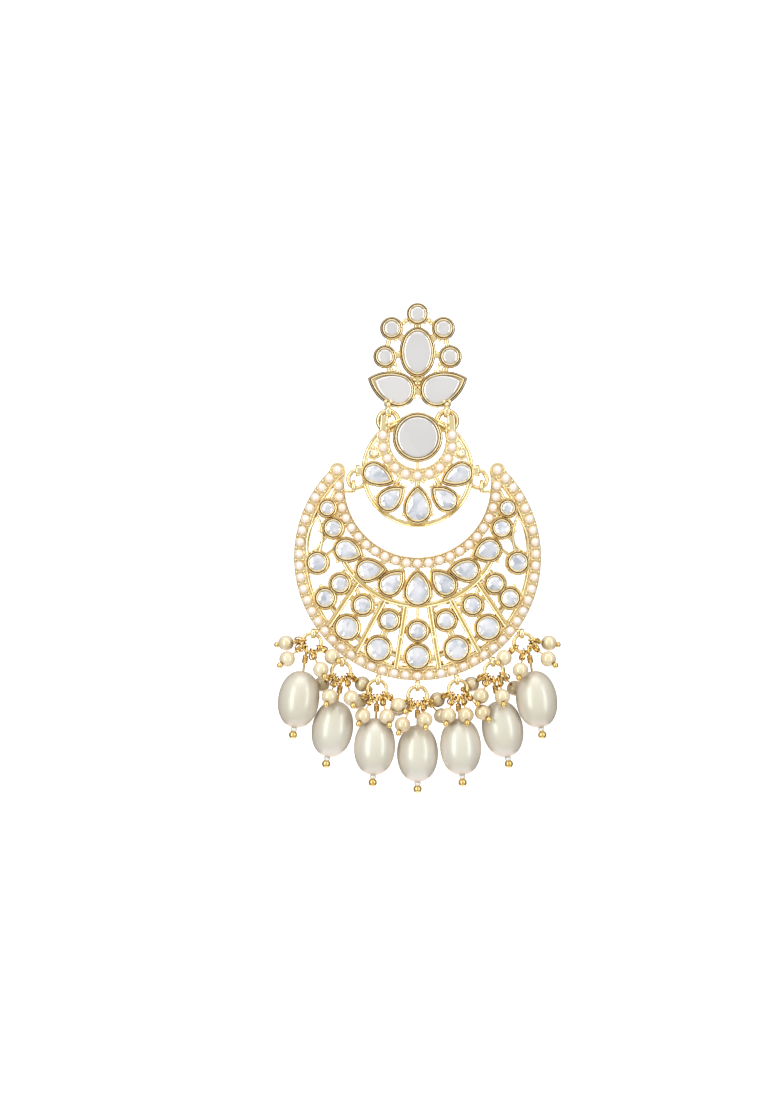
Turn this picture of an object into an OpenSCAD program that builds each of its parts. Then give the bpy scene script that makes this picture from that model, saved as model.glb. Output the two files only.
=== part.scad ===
// A chandbali earring: a stud, a round medallion and a crescent, hung one below the other
// on jump rings, with seven oval pearls and small bead clusters below the crescent.
// X runs across the ear, +Z up, and the front faces -Y. The origin is the root of the ear post.

/* [Stud] */
// Width of the oval setting
oval_w = 6.4; // [5.6:0.1:7.2]
// Height of the oval setting
oval_h = 9.0; // [8:0.1:10]
// Diameter of each round setting round the oval
stud_round_d = 4.05; // [3.6:0.05:4.4]
// Body diameter of each leaf setting below the oval
stud_leaf_d = 6.25; // [5.6:0.05:6.8]
// Length from a stud leaf's body centre to its tip
stud_leaf_l = 5.9; // [5.2:0.1:6.6]
// Length of the ear post
post_l = 10.5; // [9:0.5:12]
// Diameter of the ear post
post_d = 0.8; // [0.7:0.05:1]

/* [Medallion] */
// Outer diameter of the medallion's rim
medallion_d = 20.6; // [19:0.2:22]
// Width of the rim wire
rim_w = 0.95; // [0.7:0.05:1.3]
// Diameter of the big round setting
big_round_d = 8.9; // [8:0.1:9.6]
// Radius of the row of half pearls under the big setting
pearl_row_r = 6.45; // [6.2:0.05:6.7]
// Number of half pearls in the medallion
medallion_pearl_count = 11; // [9:1:11]

/* [Crescent] */
// Outer diameter of the crescent
crescent_d = 45.4; // [43:0.2:49]
// Diameter of the crescent's mouth
mouth_d = 26.9; // [25:0.1:28]
// Height of the mouth's centre above the crescent's centre
mouth_rise = 13.4; // [12.6:0.1:14]
// Width of the outer pearl band
outer_band_w = 2.4; // [2.1:0.05:2.6]
// Width of the pearl band along the mouth
mouth_band_w = 1.95; // [1.8:0.05:2.2]
// Number of half pearls along the outer band
outer_pearl_count = 49; // [41:2:51]
// Number of half pearls along the mouth
mouth_pearl_count = 23; // [19:2:23]
// Width of the partition wires
wire_w = 0.85; // [0.6:0.05:1.1]

/* [Metal and stones] */
// Thickness of the pierced plate
plate_t = 0.9; // [0.7:0.05:1.2]
// Height of a stone's setting above the plate
setting_h = 1.1; // [0.9:0.05:1.4]
// Wall of a stone's setting
setting_w = 0.46; // [0.35:0.02:0.6]
// Height of the wires above the plate
wire_h = 0.5; // [0.3:0.05:0.8]
// Height of the pearl bands' edges above the plate
edge_h = 0.3; // [0.2:0.05:0.5]
// Diameter of a half pearl
half_pearl_d = 1.7; // [1.5:0.05:1.75]
// Gap between a stone and the wall of its setting
stone_gap = 0.08; // [0.05:0.01:0.15]

/* [Rings and drops] */
// Inner diameter of the two rings under the stud
upper_ring_d = 2.56; // [2.4:0.02:3]
// Wire of the two rings under the stud
upper_wire = 1.0; // [0.8:0.05:1.1]
// Inner diameter of the two rings beside the medallion
side_ring_d = 2.36; // [2.2:0.02:2.6]
// Wire of the two rings beside the medallion
side_wire = 0.8; // [0.7:0.02:0.9]
// Inner diameter of the seven drop rings
drop_ring_d = 2.8; // [2.6:0.1:3.2]
// Wire of the seven drop rings
drop_wire = 0.7; // [0.6:0.05:0.8]
// Width of an oval pearl
pearl_w = 7.6; // [6.8:0.1:7.8]
// Length of an oval pearl
pearl_l = 10.5; // [9.6:0.1:11]
// Diameter of a cluster bead
bead_d = 2.9; // [2.5:0.05:3]

/* [Hidden] */
// Running clearance of a wire in an eyelet
eyelet_gap = 0.12;
// Edge length of round shapes, in segments
$fn = 48;
UPPER_SIDES = ["left", "right"];
DROPS = [1:7];

// Shared helpers
function lerp(a, b, s) = a + (b - a) * s;
function unit(v) = v / norm(v);
// A point at angle a from straight down, positive towards +X, in the front view
function polar(c, r, a) = c + r * [sin(a), -cos(a)];
// The radius of a hole that a ring passes through, in a drum of thickness t across its wire
function hole_r(mean, wire, t) = let (in_r = mean - wire / 2)
    mean - sqrt(in_r * in_r - t * t / 4) + eyelet_gap;
function flip(p) = [-p.x, p.y];
function arc_points(r, from, to, steps, c = [0, 0]) =
    [for (k = [0:steps]) c + r * [cos(lerp(from, to, k / steps)), sin(lerp(from, to, k / steps))]];
function oval_points(rx, ry, n) = [for (k = [0:n - 1]) [rx * cos(360 * k / n), ry * sin(360 * k / n)]];
// A leaf: a round body of radius r about the origin, and two arcs that meet in a tip at +Y
leaf_flank = 1.25; // radius of the flank arcs, in lengths of the leaf
function leaf_points(r, l) = let (
    big = max(leaf_flank * l, 1.2 * r),
    cy = ((big - r) * (big - r) + l * l - big * big) / (2 * l),
    cx = sqrt((big - r) * (big - r) - cy * cy),
    tip_a = atan2(l - cy, cx),
    body_a = atan2(-cy, cx),
    right = arc_points(big, tip_a, body_a, 5, [-cx, cy]),
    body = arc_points(r, body_a, -180 - body_a, 14),
    left = [for (k = [5:-1:0]) flip(right[k])]
) concat(right, [for (k = [1:13]) body[k]], [for (k = [0:4]) left[k]]);
// The angle that turns a leaf's +Y to point from p to q
function leaf_turn(p, q) = atan2(q.y - p.y, q.x - p.x) - 90;

// Extrudes a drawing of the front view from y_back towards the front
module front(y_back, t) {
    translate([0, y_back, 0]) rotate([90, 0, 0]) linear_extrude(t) children();
}
module both_sides() {
    children();
    mirror([1, 0]) children();
}
module ring_2d(r_out, r_in) {
    difference() {
        circle(r_out);
        circle(r_in);
    }
}
module bar(p, q, w) {
    translate(p) rotate(atan2(q.y - p.y, q.x - p.x)) translate([0, -w / 2]) square([norm(q - p), w]);
}
module leaf_2d(p, q, r, l) {
    translate(p) rotate(leaf_turn(p, q)) polygon(leaf_points(r, l));
}
module torus(mean_r, wire_r) {
    rotate_extrude() translate([mean_r, 0]) circle(wire_r);
}
// A ring that is seen round from the front
module front_ring(c, y, mean_r, wire_r) {
    translate([c.x, y, c.y]) rotate([90, 0, 0]) torus(mean_r, wire_r);
}
// A drum along X, for eyelets seen edge on
module side_drum(c, y, r, t) {
    translate([c.x - t / 2, y, c.y]) rotate([0, 90, 0]) cylinder(r = r, h = t);
}
// Places children with their axes along u, v and w
module axes_at(p, u, v, w) {
    multmatrix([[u.x, v.x, w.x, p.x], [u.y, v.y, w.y, p.y], [u.z, v.z, w.z, p.z], [0, 0, 0, 1]])
        children();
}
// A cut stone from an outline: a straight girdle, then facets up to a flat table
module cut_stone(points, h, table = 0.62, girdle = 0.45) {
    n = len(points);
    rings = [[0, 1], [h * girdle, 1], [h, table]];
    polyhedron(
        points = [for (g = rings) for (p = points) [p.x * g[1], p.y * g[1], g[0]]],
        faces = concat(
            [[for (k = [0:n - 1]) k]],
            [for (g = [0, 1]) for (k = [0:n - 1])
                [g * n + k, (g + 1) * n + k, (g + 1) * n + (k + 1) % n, g * n + (k + 1) % n]],
            [[for (k = [n - 1:-1:0]) 2 * n + k]]
        )
    );
}
module stone_at(p, turn, y_back) {
    translate([p.x, y_back, p.y]) rotate([90, 0, 0]) rotate(turn) children();
}
module round_stone(p, r, y_back, h, sides = 12) {
    stone_at(p, 0, y_back) cut_stone(oval_points(r, r, sides), h);
}
module half_pearl(p, y_back) {
    r = half_pearl_d / 2;
    translate([p.x, y_back, p.y]) rotate([90, 0, 0])
        rotate_extrude() intersection() {
            circle(r);
            square(r);
        }
}

// Depths along Y
peg_t = 1.5; // thickness of the pegs under the stud
eyelet_wall = 0.5;
upper_mean = (upper_ring_d + upper_wire) / 2;
side_mean = (side_ring_d + side_wire) / 2;
drop_mean = (drop_ring_d + drop_wire) / 2;
peg_hole_r = hole_r(upper_mean, upper_wire, peg_t);
hang_y = -(peg_hole_r + eyelet_wall); // the plane in which the rings hang
seat_gap = 0.02;
stud_back = 0;
stud_plate = plate_t + 0.1;
ring_to_rim = 0.3; // clearance between the upper rings and the medallion's rim
medallion_back = hang_y - upper_wire / 2 - ring_to_rim;
crescent_back = hang_y + plate_t * 0.75;
stone_h = setting_h * 0.9;

// Stud
oval_r = [oval_w, oval_h] / 2;
stud_round_r = stud_round_d / 2;
stud_leaf_r = stud_leaf_d / 2;
// Round settings: angle from +X, and length of the neck between oval and round
STUD_ROUNDS = [[90, 0.47], [137.5, 0.79], [42.5, 0.79], [188, 0.81], [-8, 0.81]];
function oval_edge(a) = 1 / sqrt(pow(cos(a) / oval_r.x, 2) + pow(sin(a) / oval_r.y, 2));
function stud_round(i) = let (a = STUD_ROUNDS[i][0])
    (oval_edge(a) + STUD_ROUNDS[i][1] + stud_round_r) * [cos(a), sin(a)];
leaf_apart = 0.42; // half the gap between the two leaf settings
leaf_lift = 0.62; // how far the leaf settings reach up beside the oval's end
leaf_rise = 22; // angle at which their tips rise
stud_leaf = [stud_leaf_r + leaf_apart, -oval_r.y - stud_leaf_r + leaf_lift];
stud_leaf_tip = stud_leaf + stud_leaf_l * [cos(leaf_rise), sin(leaf_rise)];
stud_neck_w = 1.3;
peg_out = 1.85; // from a leaf's body centre out to the peg
peg_drop = 0.74; // from the leaf setting down to the peg's hole
peg_l = 3; // length of the peg's shank
peg_x = stud_leaf.x + peg_out;
// Height of the axis on which the medallion swings
swing_z = stud_leaf.y - stud_leaf_r - peg_drop;

module stud_plate_2d() {
    inset = setting_w / 2;
    polygon(oval_points(oval_r.x - inset, oval_r.y - inset, 40));
    for (i = [0:4]) translate(stud_round(i)) circle(stud_round_r - inset);
    for (i = [0:4]) bar([0, 0], stud_round(i), stud_neck_w);
    for (i = [1, 2]) bar(stud_round(0), stud_round(i), stud_neck_w * 0.7);
    for (i = [1, 2]) bar(stud_round(i), stud_round(i + 2), stud_neck_w * 0.7);
    bar([0, 0], [0, stud_leaf.y], stud_neck_w * 2);
    both_sides() {
        leaf_2d(stud_leaf, stud_leaf_tip, stud_leaf_r - inset, stud_leaf_l - 2 * inset);
        bar(stud_round(4), stud_leaf, stud_neck_w * 0.8);
        bar(stud_leaf, [0, stud_leaf.y], stud_neck_w * 1.5);
    }
}
module stud_pockets_2d() {
    polygon(oval_points(oval_r.x - setting_w, oval_r.y - setting_w, 40));
    for (i = [0:4]) translate(stud_round(i)) circle(stud_round_r - setting_w);
    both_sides() leaf_2d(stud_leaf, stud_leaf_tip, stud_leaf_r - setting_w, stud_leaf_l - 2 * setting_w);
}
module stud_walls_2d() {
    difference() {
        union() {
            polygon(oval_points(oval_r.x, oval_r.y, 40));
            for (i = [0:4]) translate(stud_round(i)) circle(stud_round_r);
            both_sides() leaf_2d(stud_leaf, stud_leaf_tip, stud_leaf_r, stud_leaf_l);
        }
        stud_pockets_2d();
    }
}
module peg(x) {
    c = [x, swing_z];
    difference() {
        union() {
            side_drum(c, hang_y, peg_hole_r + eyelet_wall, peg_t);
            translate([x - peg_t / 2, -stud_plate, swing_z]) cube([peg_t, stud_plate - 0.1, peg_l]);
        }
        side_drum(c, hang_y, peg_hole_r, peg_t + 2);
    }
}
module stud_frame() {
    color("#e3c98f") {
        front(stud_back, stud_plate) stud_plate_2d();
        front(stud_back - stud_plate / 2, stud_plate / 2 + setting_h) stud_walls_2d();
        for (x = [-peg_x, peg_x]) peg(x);
    }
}
module ear_post() {
    color("#d9c08a") rotate([-90, 0, 0]) translate([0, 0, stud_back]) cylinder(d = post_d, h = post_l);
}
stud_floor = stud_back - stud_plate - seat_gap;
stone_in = setting_w + stone_gap; // from a setting's outer edge to its stone
module oval_stone() {
    color("#d8d8d8") stone_at([0, 0], 0, stud_floor)
        cut_stone(oval_points(oval_r.x - stone_in, oval_r.y - stone_in, 32), stone_h, 0.84, 0.5);
}
module stud_round_stone(i) {
    color("#d8d8d8") round_stone(stud_round(i), stud_round_r - stone_in, stud_floor, stone_h, 16);
}
module stud_pear(side) {
    p = side < 0 ? flip(stud_leaf) : stud_leaf;
    q = side < 0 ? flip(stud_leaf_tip) : stud_leaf_tip;
    color("#d8d8d8") stone_at(p, leaf_turn(p, q), stud_floor)
        cut_stone(leaf_points(stud_leaf_r - stone_in, stud_leaf_l - 2.2 * stone_in), stone_h, 0.82, 0.5);
}

// Medallion
rim_r = medallion_d / 2;
rim_mean = rim_r - rim_w / 2;
upper_ring_c = [peg_x, swing_z - upper_mean];
// The rim passes in front of the bottoms of the upper rings
rim_over_ring = 0.7;
medallion_c = [0, swing_z - 2 * upper_mean + rim_over_ring - sqrt(rim_mean * rim_mean - peg_x * peg_x)];
big_round_r = big_round_d / 2;
big_round_over = 0.37; // how far the big setting stands out above the rim
big_round = medallion_c + [0, rim_r + big_round_over - big_round_r];
pearl_row_drop = 0.6; // from the big setting's centre down to the pearl row's
pearl_row_c = big_round - [0, pearl_row_drop];
joint_w = 0.9; // width of the bars that join settings
thin_joint_w = 0.6;
big_wall = setting_w + 0.1; // wall of the big setting
pearl_row_in = 1.45; // from the row of half pearls to the inner edge of its band
pearl_row_out = 1.0;
pearl_row_end = 99; // angle of the last half pearl from straight down
// Leaf settings: body centre and tip as angle from straight down and share of the rim's radius,
// body radius as a share of the rim's radius
MEDALLION_LEAVES = [
    [-87.5, 0.785, -65, 0.46, 0.205], [-45, 0.738, -42, 0.375, 0.205], [0, 0.682, 0, 0.255, 0.25],
    [45, 0.738, 42, 0.375, 0.205], [87.5, 0.785, 65, 0.46, 0.205]];
function leaf_body(i) = polar(medallion_c, rim_r * MEDALLION_LEAVES[i][1], MEDALLION_LEAVES[i][0]);
function leaf_tip(i) = polar(medallion_c, rim_r * MEDALLION_LEAVES[i][3], MEDALLION_LEAVES[i][2]);
function leaf_r(i) = rim_r * MEDALLION_LEAVES[i][4];
function leaf_l(i) = norm(leaf_tip(i) - leaf_body(i));
scroll_c = polar(medallion_c, rim_r * 0.845, 112.5);
scroll_r = 1.25;
scroll_w = 0.55;
loop_t = 1.2; // thickness of the loops behind the rim
loop_hole_r = hole_r(upper_mean, upper_wire, loop_t);
// Side rings: the medallion's side eyelets hold their tops
side_eyelet_t = 0.8;
side_ring_out = 0.84; // from the rim out to the side rings' centres
side_ring_lift = 0.12; // height of their tops above the medallion's centre
side_ring_c = [rim_r + side_ring_out, medallion_c.y + side_ring_lift - side_mean];
side_hole_r = hole_r(side_mean, side_wire, side_eyelet_t + 0.3);

module medallion_plate_2d() {
    inset = setting_w / 2;
    intersection() {
        translate(medallion_c) circle(rim_r);
        union() {
            translate(medallion_c) ring_2d(rim_r + 1, rim_r - rim_w);
            translate(pearl_row_c) difference() {
                ring_2d(pearl_row_r + pearl_row_out, pearl_row_r - pearl_row_in);
                translate([-rim_r, pearl_row_r * 0.3]) square(2 * rim_r);
            }
            for (x = [-1, 1]) translate(pearl_row_c + [x * pearl_row_r - 0.8, 0]) square([1.6, rim_r]);
            for (i = [0:4]) {
                leaf_2d(leaf_body(i), leaf_tip(i), leaf_r(i) - inset, leaf_l(i) - 2 * inset);
                bar(leaf_body(i), lerp(leaf_body(i), pearl_row_c, i == 2 ? 0.5 : 0.42), joint_w);
            }
            both_sides() translate(scroll_c) ring_2d(scroll_r, scroll_r - scroll_w);
        }
    }
    translate(big_round) circle(big_round_r - inset);
    bar(pearl_row_c - [0, pearl_row_r], big_round, thin_joint_w);
}
module medallion_pockets_2d() {
    translate(big_round) circle(big_round_r - big_wall);
    for (i = [0:4])
        leaf_2d(leaf_body(i), leaf_tip(i), leaf_r(i) - setting_w, leaf_l(i) - 2 * setting_w);
}
module medallion_walls_2d() {
    difference() {
        union() {
            translate(big_round) circle(big_round_r);
            for (i = [0:4]) leaf_2d(leaf_body(i), leaf_tip(i), leaf_r(i), leaf_l(i));
        }
        medallion_pockets_2d();
    }
}
// A loop behind the rim, through which an upper ring passes
module rim_loop(x) {
    c = [x, swing_z - 2 * upper_mean];
    difference() {
        side_drum(c, hang_y, loop_hole_r + eyelet_wall, loop_t);
        side_drum(c, hang_y, loop_hole_r, loop_t + 2);
    }
}
module side_eyelet(side) {
    c = [side * (side_ring_c.x - 0.15), side_ring_c.y + side_mean];
    out_r = side_hole_r + eyelet_wall;
    root = hang_y - side_hole_r - 0.05 - (medallion_back - plate_t);
    difference() {
        union() {
            side_drum(c, hang_y, out_r, side_eyelet_t);
            translate([side > 0 ? rim_r - 0.4 : -rim_r - 1, medallion_back - plate_t, c.y - 0.9])
                cube([1.4, root, 1.8]);
        }
        side_drum(c, hang_y, side_hole_r, side_eyelet_t + 2);
    }
}
module medallion_frame() {
    color("#e3c98f") {
        front(medallion_back, plate_t) medallion_plate_2d();
        front(medallion_back - plate_t / 2, plate_t / 2 + setting_h) medallion_walls_2d();
        for (x = [-peg_x, peg_x]) rim_loop(x);
        for (side = [-1, 1]) side_eyelet(side);
    }
}
medallion_floor = medallion_back - plate_t - seat_gap;
module medallion_centre_stone() {
    r = big_round_r - big_wall - stone_gap;
    color("#d8d8d8") stone_at(big_round, 0, medallion_floor)
        cut_stone(oval_points(r, r, 36), stone_h, 0.88, 0.5);
}
module medallion_pear(i) {
    color("#cfd6dc") stone_at(leaf_body(i), leaf_turn(leaf_body(i), leaf_tip(i)), medallion_floor)
        cut_stone(leaf_points(leaf_r(i) - stone_in, leaf_l(i) - 2.2 * stone_in), stone_h);
}
module medallion_pearls() {
    last = medallion_pearl_count - 1;
    color("#f3ead8") for (k = [0:last])
        half_pearl(polar(pearl_row_c, pearl_row_r, lerp(-pearl_row_end, pearl_row_end, k / last)),
            medallion_floor);
}

// Crescent
// The side rings carry the tabs at the horns; the crescent swings in the tabs' holes
tab_in = 0.26; // from the side ring's centre to the tab's inner face
tab_t = 0.7;
tab_low = sqrt(pow(side_mean + side_wire / 2, 2) - tab_in * tab_in);
tab_high = sqrt(pow(side_mean - side_wire / 2, 2) - pow(tab_in + tab_t, 2));
tab_hole_r = (tab_low - tab_high) / 2 + eyelet_gap;
tab_c = [side_ring_c.x + tab_in + tab_t / 2, side_ring_c.y - (tab_low + tab_high) / 2];
tab_r = tab_hole_r + eyelet_wall;

mouth_r = mouth_d / 2;
crescent_r = crescent_d / 2;
mouth_lift = 0.43; // height of the mouth's centre above the tabs' holes
mouth_c = [0, tab_c.y + mouth_lift];
crescent_c = mouth_c - [0, mouth_rise];
mouth_out = mouth_r + mouth_band_w; // outer edge of the mouth's pearl band
outer_in = crescent_r - outer_band_w; // inner edge of the outer pearl band
outer_pearl_in = 0.95; // from the crescent's edge to the row of half pearls
mouth_pearl_in = 1.1; // from the mouth's edge to its row of half pearls
outer_edge_w = 0.35;
mouth_edge_w = 0.2;
horn_rise = 2.5; // from the mouth's centre up to the centres of the horns' round tips
// A point of the web: a is the angle from straight down, s goes from the mouth's band to the outer one
function web(a, s) = lerp(polar(mouth_c, mouth_out, a), polar(crescent_c, outer_in, a), s);
// The garland wire under the leaves
garland_drop = 7;
garland_c = mouth_c - [0, garland_drop];
garland_r = mouth_r + 1.8;
garland_end = 62;

// Leaf settings from the middle to the right: body angle and share, tip angle and share, and
// body radius as a share of the crescent's radius
CRESCENT_LEAVES = [[0, 0.246, 0, 0.02, 0.1123], [18.2, 0.215, 9.4, 0.04, 0.0947],
    [34.7, 0.18, 21.3, 0.075, 0.0947], [54.2, 0.185, 40, 0.08, 0.0969]];
function c_leaf(i) = web(CRESCENT_LEAVES[i][0], CRESCENT_LEAVES[i][1]);
function c_tip(i) = web(CRESCENT_LEAVES[i][2], CRESCENT_LEAVES[i][3]);
function c_leaf_r(i) = crescent_r * CRESCENT_LEAVES[i][4];
function c_leaf_l(i) = norm(c_tip(i) - c_leaf(i));
// Round settings on the right: angle, share of the way out, and outer radius as a share of the
// crescent's radius. The first two stand on the middle line
CRESCENT_ROUNDS = [[0, 0.63, 0.0881], [0, 0.89, 0.1079], [16.6, 0.565, 0.0881], [21.4, 0.885, 0.1079],
    [34, 0.54, 0.0881], [41.3, 0.865, 0.1079], [52, 0.535, 0.0859], [60.4, 0.84, 0.0881],
    [76, 0.73, 0.0925], [70.9, 0.2, 0.0859], [86, 0.24, 0.0749]];
function c_round(i) = web(CRESCENT_ROUNDS[i][0], CRESCENT_ROUNDS[i][1]);
function c_round_r(i) = crescent_r * CRESCENT_ROUNDS[i][2];
// Partition wires from the garland to the outer band: angle and share of each end
PARTITIONS = [[7, 0.38, 11.3, 1.03], [20.6, 0.37, 33.5, 1.03], [39.8, 0.36, 53.2, 1.03]];
// Thin wires: angle and share of each end
THIN_WIRES = [[50.5, 0.36, 66, 1.03], [64, 0.33, 76, 0.73]];
// Short bars that join settings, as pairs of CRESCENT_ROUNDS rows
JOINED = [[0, 1], [2, 3], [4, 5], [6, 7], [9, 10]];
// Bars from a setting to a partition: CRESCENT_ROUNDS row, and angle and share of the far end
SIDE_JOINTS = [[2, 7.8, 0.54], [2, 24, 0.56], [4, 26, 0.53], [4, 43.5, 0.56], [6, 44.5, 0.52]];
side_joint_w = 0.7;
middle_joint = 3; // half the length of the level bar through the middle setting
joint_in = 0.4; // how far a bar runs into a pearl band
function mouth_joint(a) = polar(mouth_c, mouth_out - joint_in, a);
side_scroll = web(84, 0.79);
side_scroll_tip = web(100.5, 0.66);
side_scroll_r = 1.3;
function mirror_rounds() = concat([for (i = [0:10]) c_round(i)], [for (i = [2:10]) flip(c_round(i))]);
function round_radii() = concat([for (i = [0:10]) c_round_r(i)], [for (i = [2:10]) c_round_r(i)]);

// The crescent's blank: disc less mouth, cut level at the horns and closed with round tips
horn_z = mouth_c.y + horn_rise;
horn_out = sqrt(crescent_r * crescent_r - pow(horn_z - crescent_c.y, 2));
horn_in = sqrt(mouth_r * mouth_r - horn_rise * horn_rise);
module crescent_blank_2d() {
    difference() {
        translate(crescent_c) circle(crescent_r, $fn = 96);
        translate(mouth_c) circle(mouth_r, $fn = 96);
        translate([-crescent_r, horn_z]) square([2 * crescent_r, crescent_r]);
    }
    both_sides() translate([(horn_in + horn_out) / 2, horn_z]) circle((horn_out - horn_in) / 2 + 0.02);
}
module bands_2d() {
    intersection() {
        crescent_blank_2d();
        union() {
            translate(crescent_c) ring_2d(crescent_r + 2, outer_in, $fn = 96);
            translate(mouth_c) ring_2d(mouth_out, mouth_r - 2, $fn = 96);
        }
    }
}
// Raised edges beside the half pearls: inside the outer band, and along the mouth
module band_edges_2d() {
    intersection() {
        crescent_blank_2d();
        union() {
            difference() {
                translate(crescent_c) ring_2d(outer_in + outer_edge_w, outer_in, $fn = 96);
                translate(mouth_c) circle(mouth_out + 0.1, $fn = 96);
            }
            translate(mouth_c) ring_2d(mouth_r + mouth_edge_w, mouth_r - 2, $fn = 96);
        }
    }
}
module garland_2d(w) {
    intersection() {
        translate(garland_c) ring_2d(garland_r + w / 2, garland_r - w / 2, $fn = 96);
        polygon([garland_c, polar(garland_c, 40, -garland_end), polar(garland_c, 40, 0),
            polar(garland_c, 40, garland_end)]);
    }
}
module wires_2d(w) {
    garland_2d(w);
    both_sides() {
        for (p = PARTITIONS) bar(web(p[0], p[1]), web(p[2], p[3]), w);
        for (p = THIN_WIRES) bar(web(p[0], p[1]), web(p[2], p[3]), w * 0.7);
    }
}
module crescent_joints_2d() {
    bar(c_leaf(0), mouth_joint(0), joint_w);
    bar(c_round(0), garland_c - [0, garland_r], thin_joint_w);
    bar(c_round(0) - [middle_joint, 0], c_round(0) + [middle_joint, 0], side_joint_w);
    both_sides() {
        for (i = [1:3]) bar(c_leaf(i), mouth_joint(CRESCENT_LEAVES[i][2]), joint_w);
        for (j = JOINED) bar(c_round(j[0]), c_round(j[1]), joint_w);
        for (j = SIDE_JOINTS) bar(c_round(j[0]), web(j[1], j[2]), side_joint_w);
        bar(c_round(9), c_leaf(3), joint_w);
        bar(c_round(9), mouth_joint(72), joint_w);
        bar(c_round(10), mouth_joint(86), joint_w);
        bar(c_round(10), polar(crescent_c, outer_in + joint_in, 119), joint_w);
        bar(side_scroll, c_round(9), thin_joint_w);
    }
}
module crescent_plate_2d() {
    inset = setting_w / 2;
    bands_2d();
    intersection() {
        crescent_blank_2d();
        union() {
            wires_2d(wire_w - 0.2);
            crescent_joints_2d();
            translate(c_leaf(0)) circle(c_leaf_r(0) - inset);
            crescent_pockets_2d(inset);
        }
    }
}
module crescent_pockets_2d(inset) {
    for (i = [0, 1]) translate(c_round(i)) circle(c_round_r(i) - inset);
    both_sides() {
        for (i = [2:10]) translate(c_round(i)) circle(c_round_r(i) - inset);
        for (i = [0:3]) leaf_2d(c_leaf(i), c_tip(i), c_leaf_r(i) - inset, c_leaf_l(i) - 2 * inset);
    }
}
module side_scrolls_2d() {
    l = norm(side_scroll_tip - side_scroll);
    both_sides() difference() {
        leaf_2d(side_scroll, side_scroll_tip, side_scroll_r, l);
        leaf_2d(side_scroll, side_scroll_tip, side_scroll_r - scroll_w, l - 1.2);
    }
}
module crescent_walls_2d() {
    difference() {
        crescent_pockets_2d(0);
        crescent_pockets_2d(setting_w);
    }
}
module crescent_wires_2d() {
    difference() {
        union() {
            wires_2d(wire_w);
            side_scrolls_2d();
        }
        crescent_pockets_2d(setting_w / 2);
    }
}
// A tab with its root on the horn's inner edge
module tab(side) {
    c = [side * tab_c.x, tab_c.y];
    root_x = tab_c.x + tab_t / 2 - 0.1;
    root_l = mouth_r + 0.3 - root_x;
    difference() {
        union() {
            side_drum(c, hang_y, tab_r, tab_t);
            translate([side > 0 ? root_x : -root_x - root_l, crescent_back - plate_t, tab_c.y - tab_r])
                cube([root_l, plate_t, tab_r - 0.7]);
        }
        side_drum(c, hang_y, tab_hole_r, tab_t);
    }
}

// Rings and drops
drop_pitch = 17.9; // degrees between the drop eyelets
drop_eyelet_t = 0.8;
drop_reach = 1.05; // from the crescent's edge to the eyelets' holes
// Columns, from the middle drop outwards: lean of the ring as a share of its mean radius, angle of
// the pin's loop on the ring, way down the pin to the pearl as a share of the pearl's length,
// tilt of the pearl, and its step to the back as a share of its length
DROP_TABLE = [[0, 0, 0.8476, 0, 0.0667], [0.0857, 0, 0.8286, 3, -0.0667],
    [0.0857, 0, 0.8571, 10.3, 0.0667], [0.1714, 34, 0.8571, 9, -0.0667]];
function drop_row(i) = DROP_TABLE[abs(i - 4)];
function drop_side(i) = i < 4 ? -1 : 1;
function drop_eyelet(i) = polar(crescent_c, crescent_r + drop_reach, (i - 4) * drop_pitch);
function drop_ring_c(i) = let (lean = drop_mean * drop_row(i)[0])
    drop_eyelet(i) + [drop_side(i) * lean, -sqrt(drop_mean * drop_mean - lean * lean)];
drop_hole_r = hole_r(drop_mean, drop_wire, drop_eyelet_t) + 0.14; // room for the ring's lean
drop_eyelet_wall = 0.33;
// A point of a drop ring's wire, at angle a from its bottom
function on_ring(i, a) = let (p = polar(drop_ring_c(i), drop_mean, a)) [p.x, hang_y, p.y];
function ring_tangent(a) = [cos(a), 0, sin(a)];
module drop_eyelet_at(i) {
    c = drop_eyelet(i);
    a = (i - 4) * drop_pitch;
    q = polar(crescent_c, crescent_r - outer_band_w / 2, a);
    difference() {
        union() {
            side_drum(c, hang_y, drop_hole_r + drop_eyelet_wall, drop_eyelet_t);
            front(crescent_back, plate_t) bar(q, lerp(c, q, 0.2), drop_eyelet_t * 0.9);
        }
        side_drum(c, hang_y, drop_hole_r, drop_eyelet_t + 2);
    }
}
module crescent_frame() {
    color("#e3c98f") {
        front(crescent_back, plate_t) crescent_plate_2d();
        front(crescent_back - plate_t / 2, plate_t / 2 + setting_h) crescent_walls_2d();
        front(crescent_back - plate_t / 3, plate_t * 2 / 3 + wire_h) crescent_wires_2d();
        front(crescent_back - plate_t / 3, plate_t * 2 / 3 + edge_h) band_edges_2d();
        for (side = [-1, 1]) tab(side);
        for (i = DROPS) drop_eyelet_at(i);
    }
}
crescent_floor = crescent_back - plate_t - seat_gap;
module crescent_pear(i) {
    k = abs(i - 4);
    p = i < 4 ? flip(c_leaf(k)) : c_leaf(k);
    q = i < 4 ? flip(c_tip(k)) : c_tip(k);
    color("#cfd6dc") stone_at(p, leaf_turn(p, q), crescent_floor)
        cut_stone(leaf_points(c_leaf_r(k) - stone_in, c_leaf_l(k) - 2.2 * stone_in), stone_h);
}
module crescent_round_stones() {
    centres = mirror_rounds();
    radii = round_radii();
    color("#cfd6dc") for (k = [0:len(centres) - 1])
        round_stone(centres[k], radii[k] - stone_in, crescent_floor, stone_h);
}
outer_pearl_end = 137.5; // angle of the last half pearl from straight down
mouth_pearl_end = 89;
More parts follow.
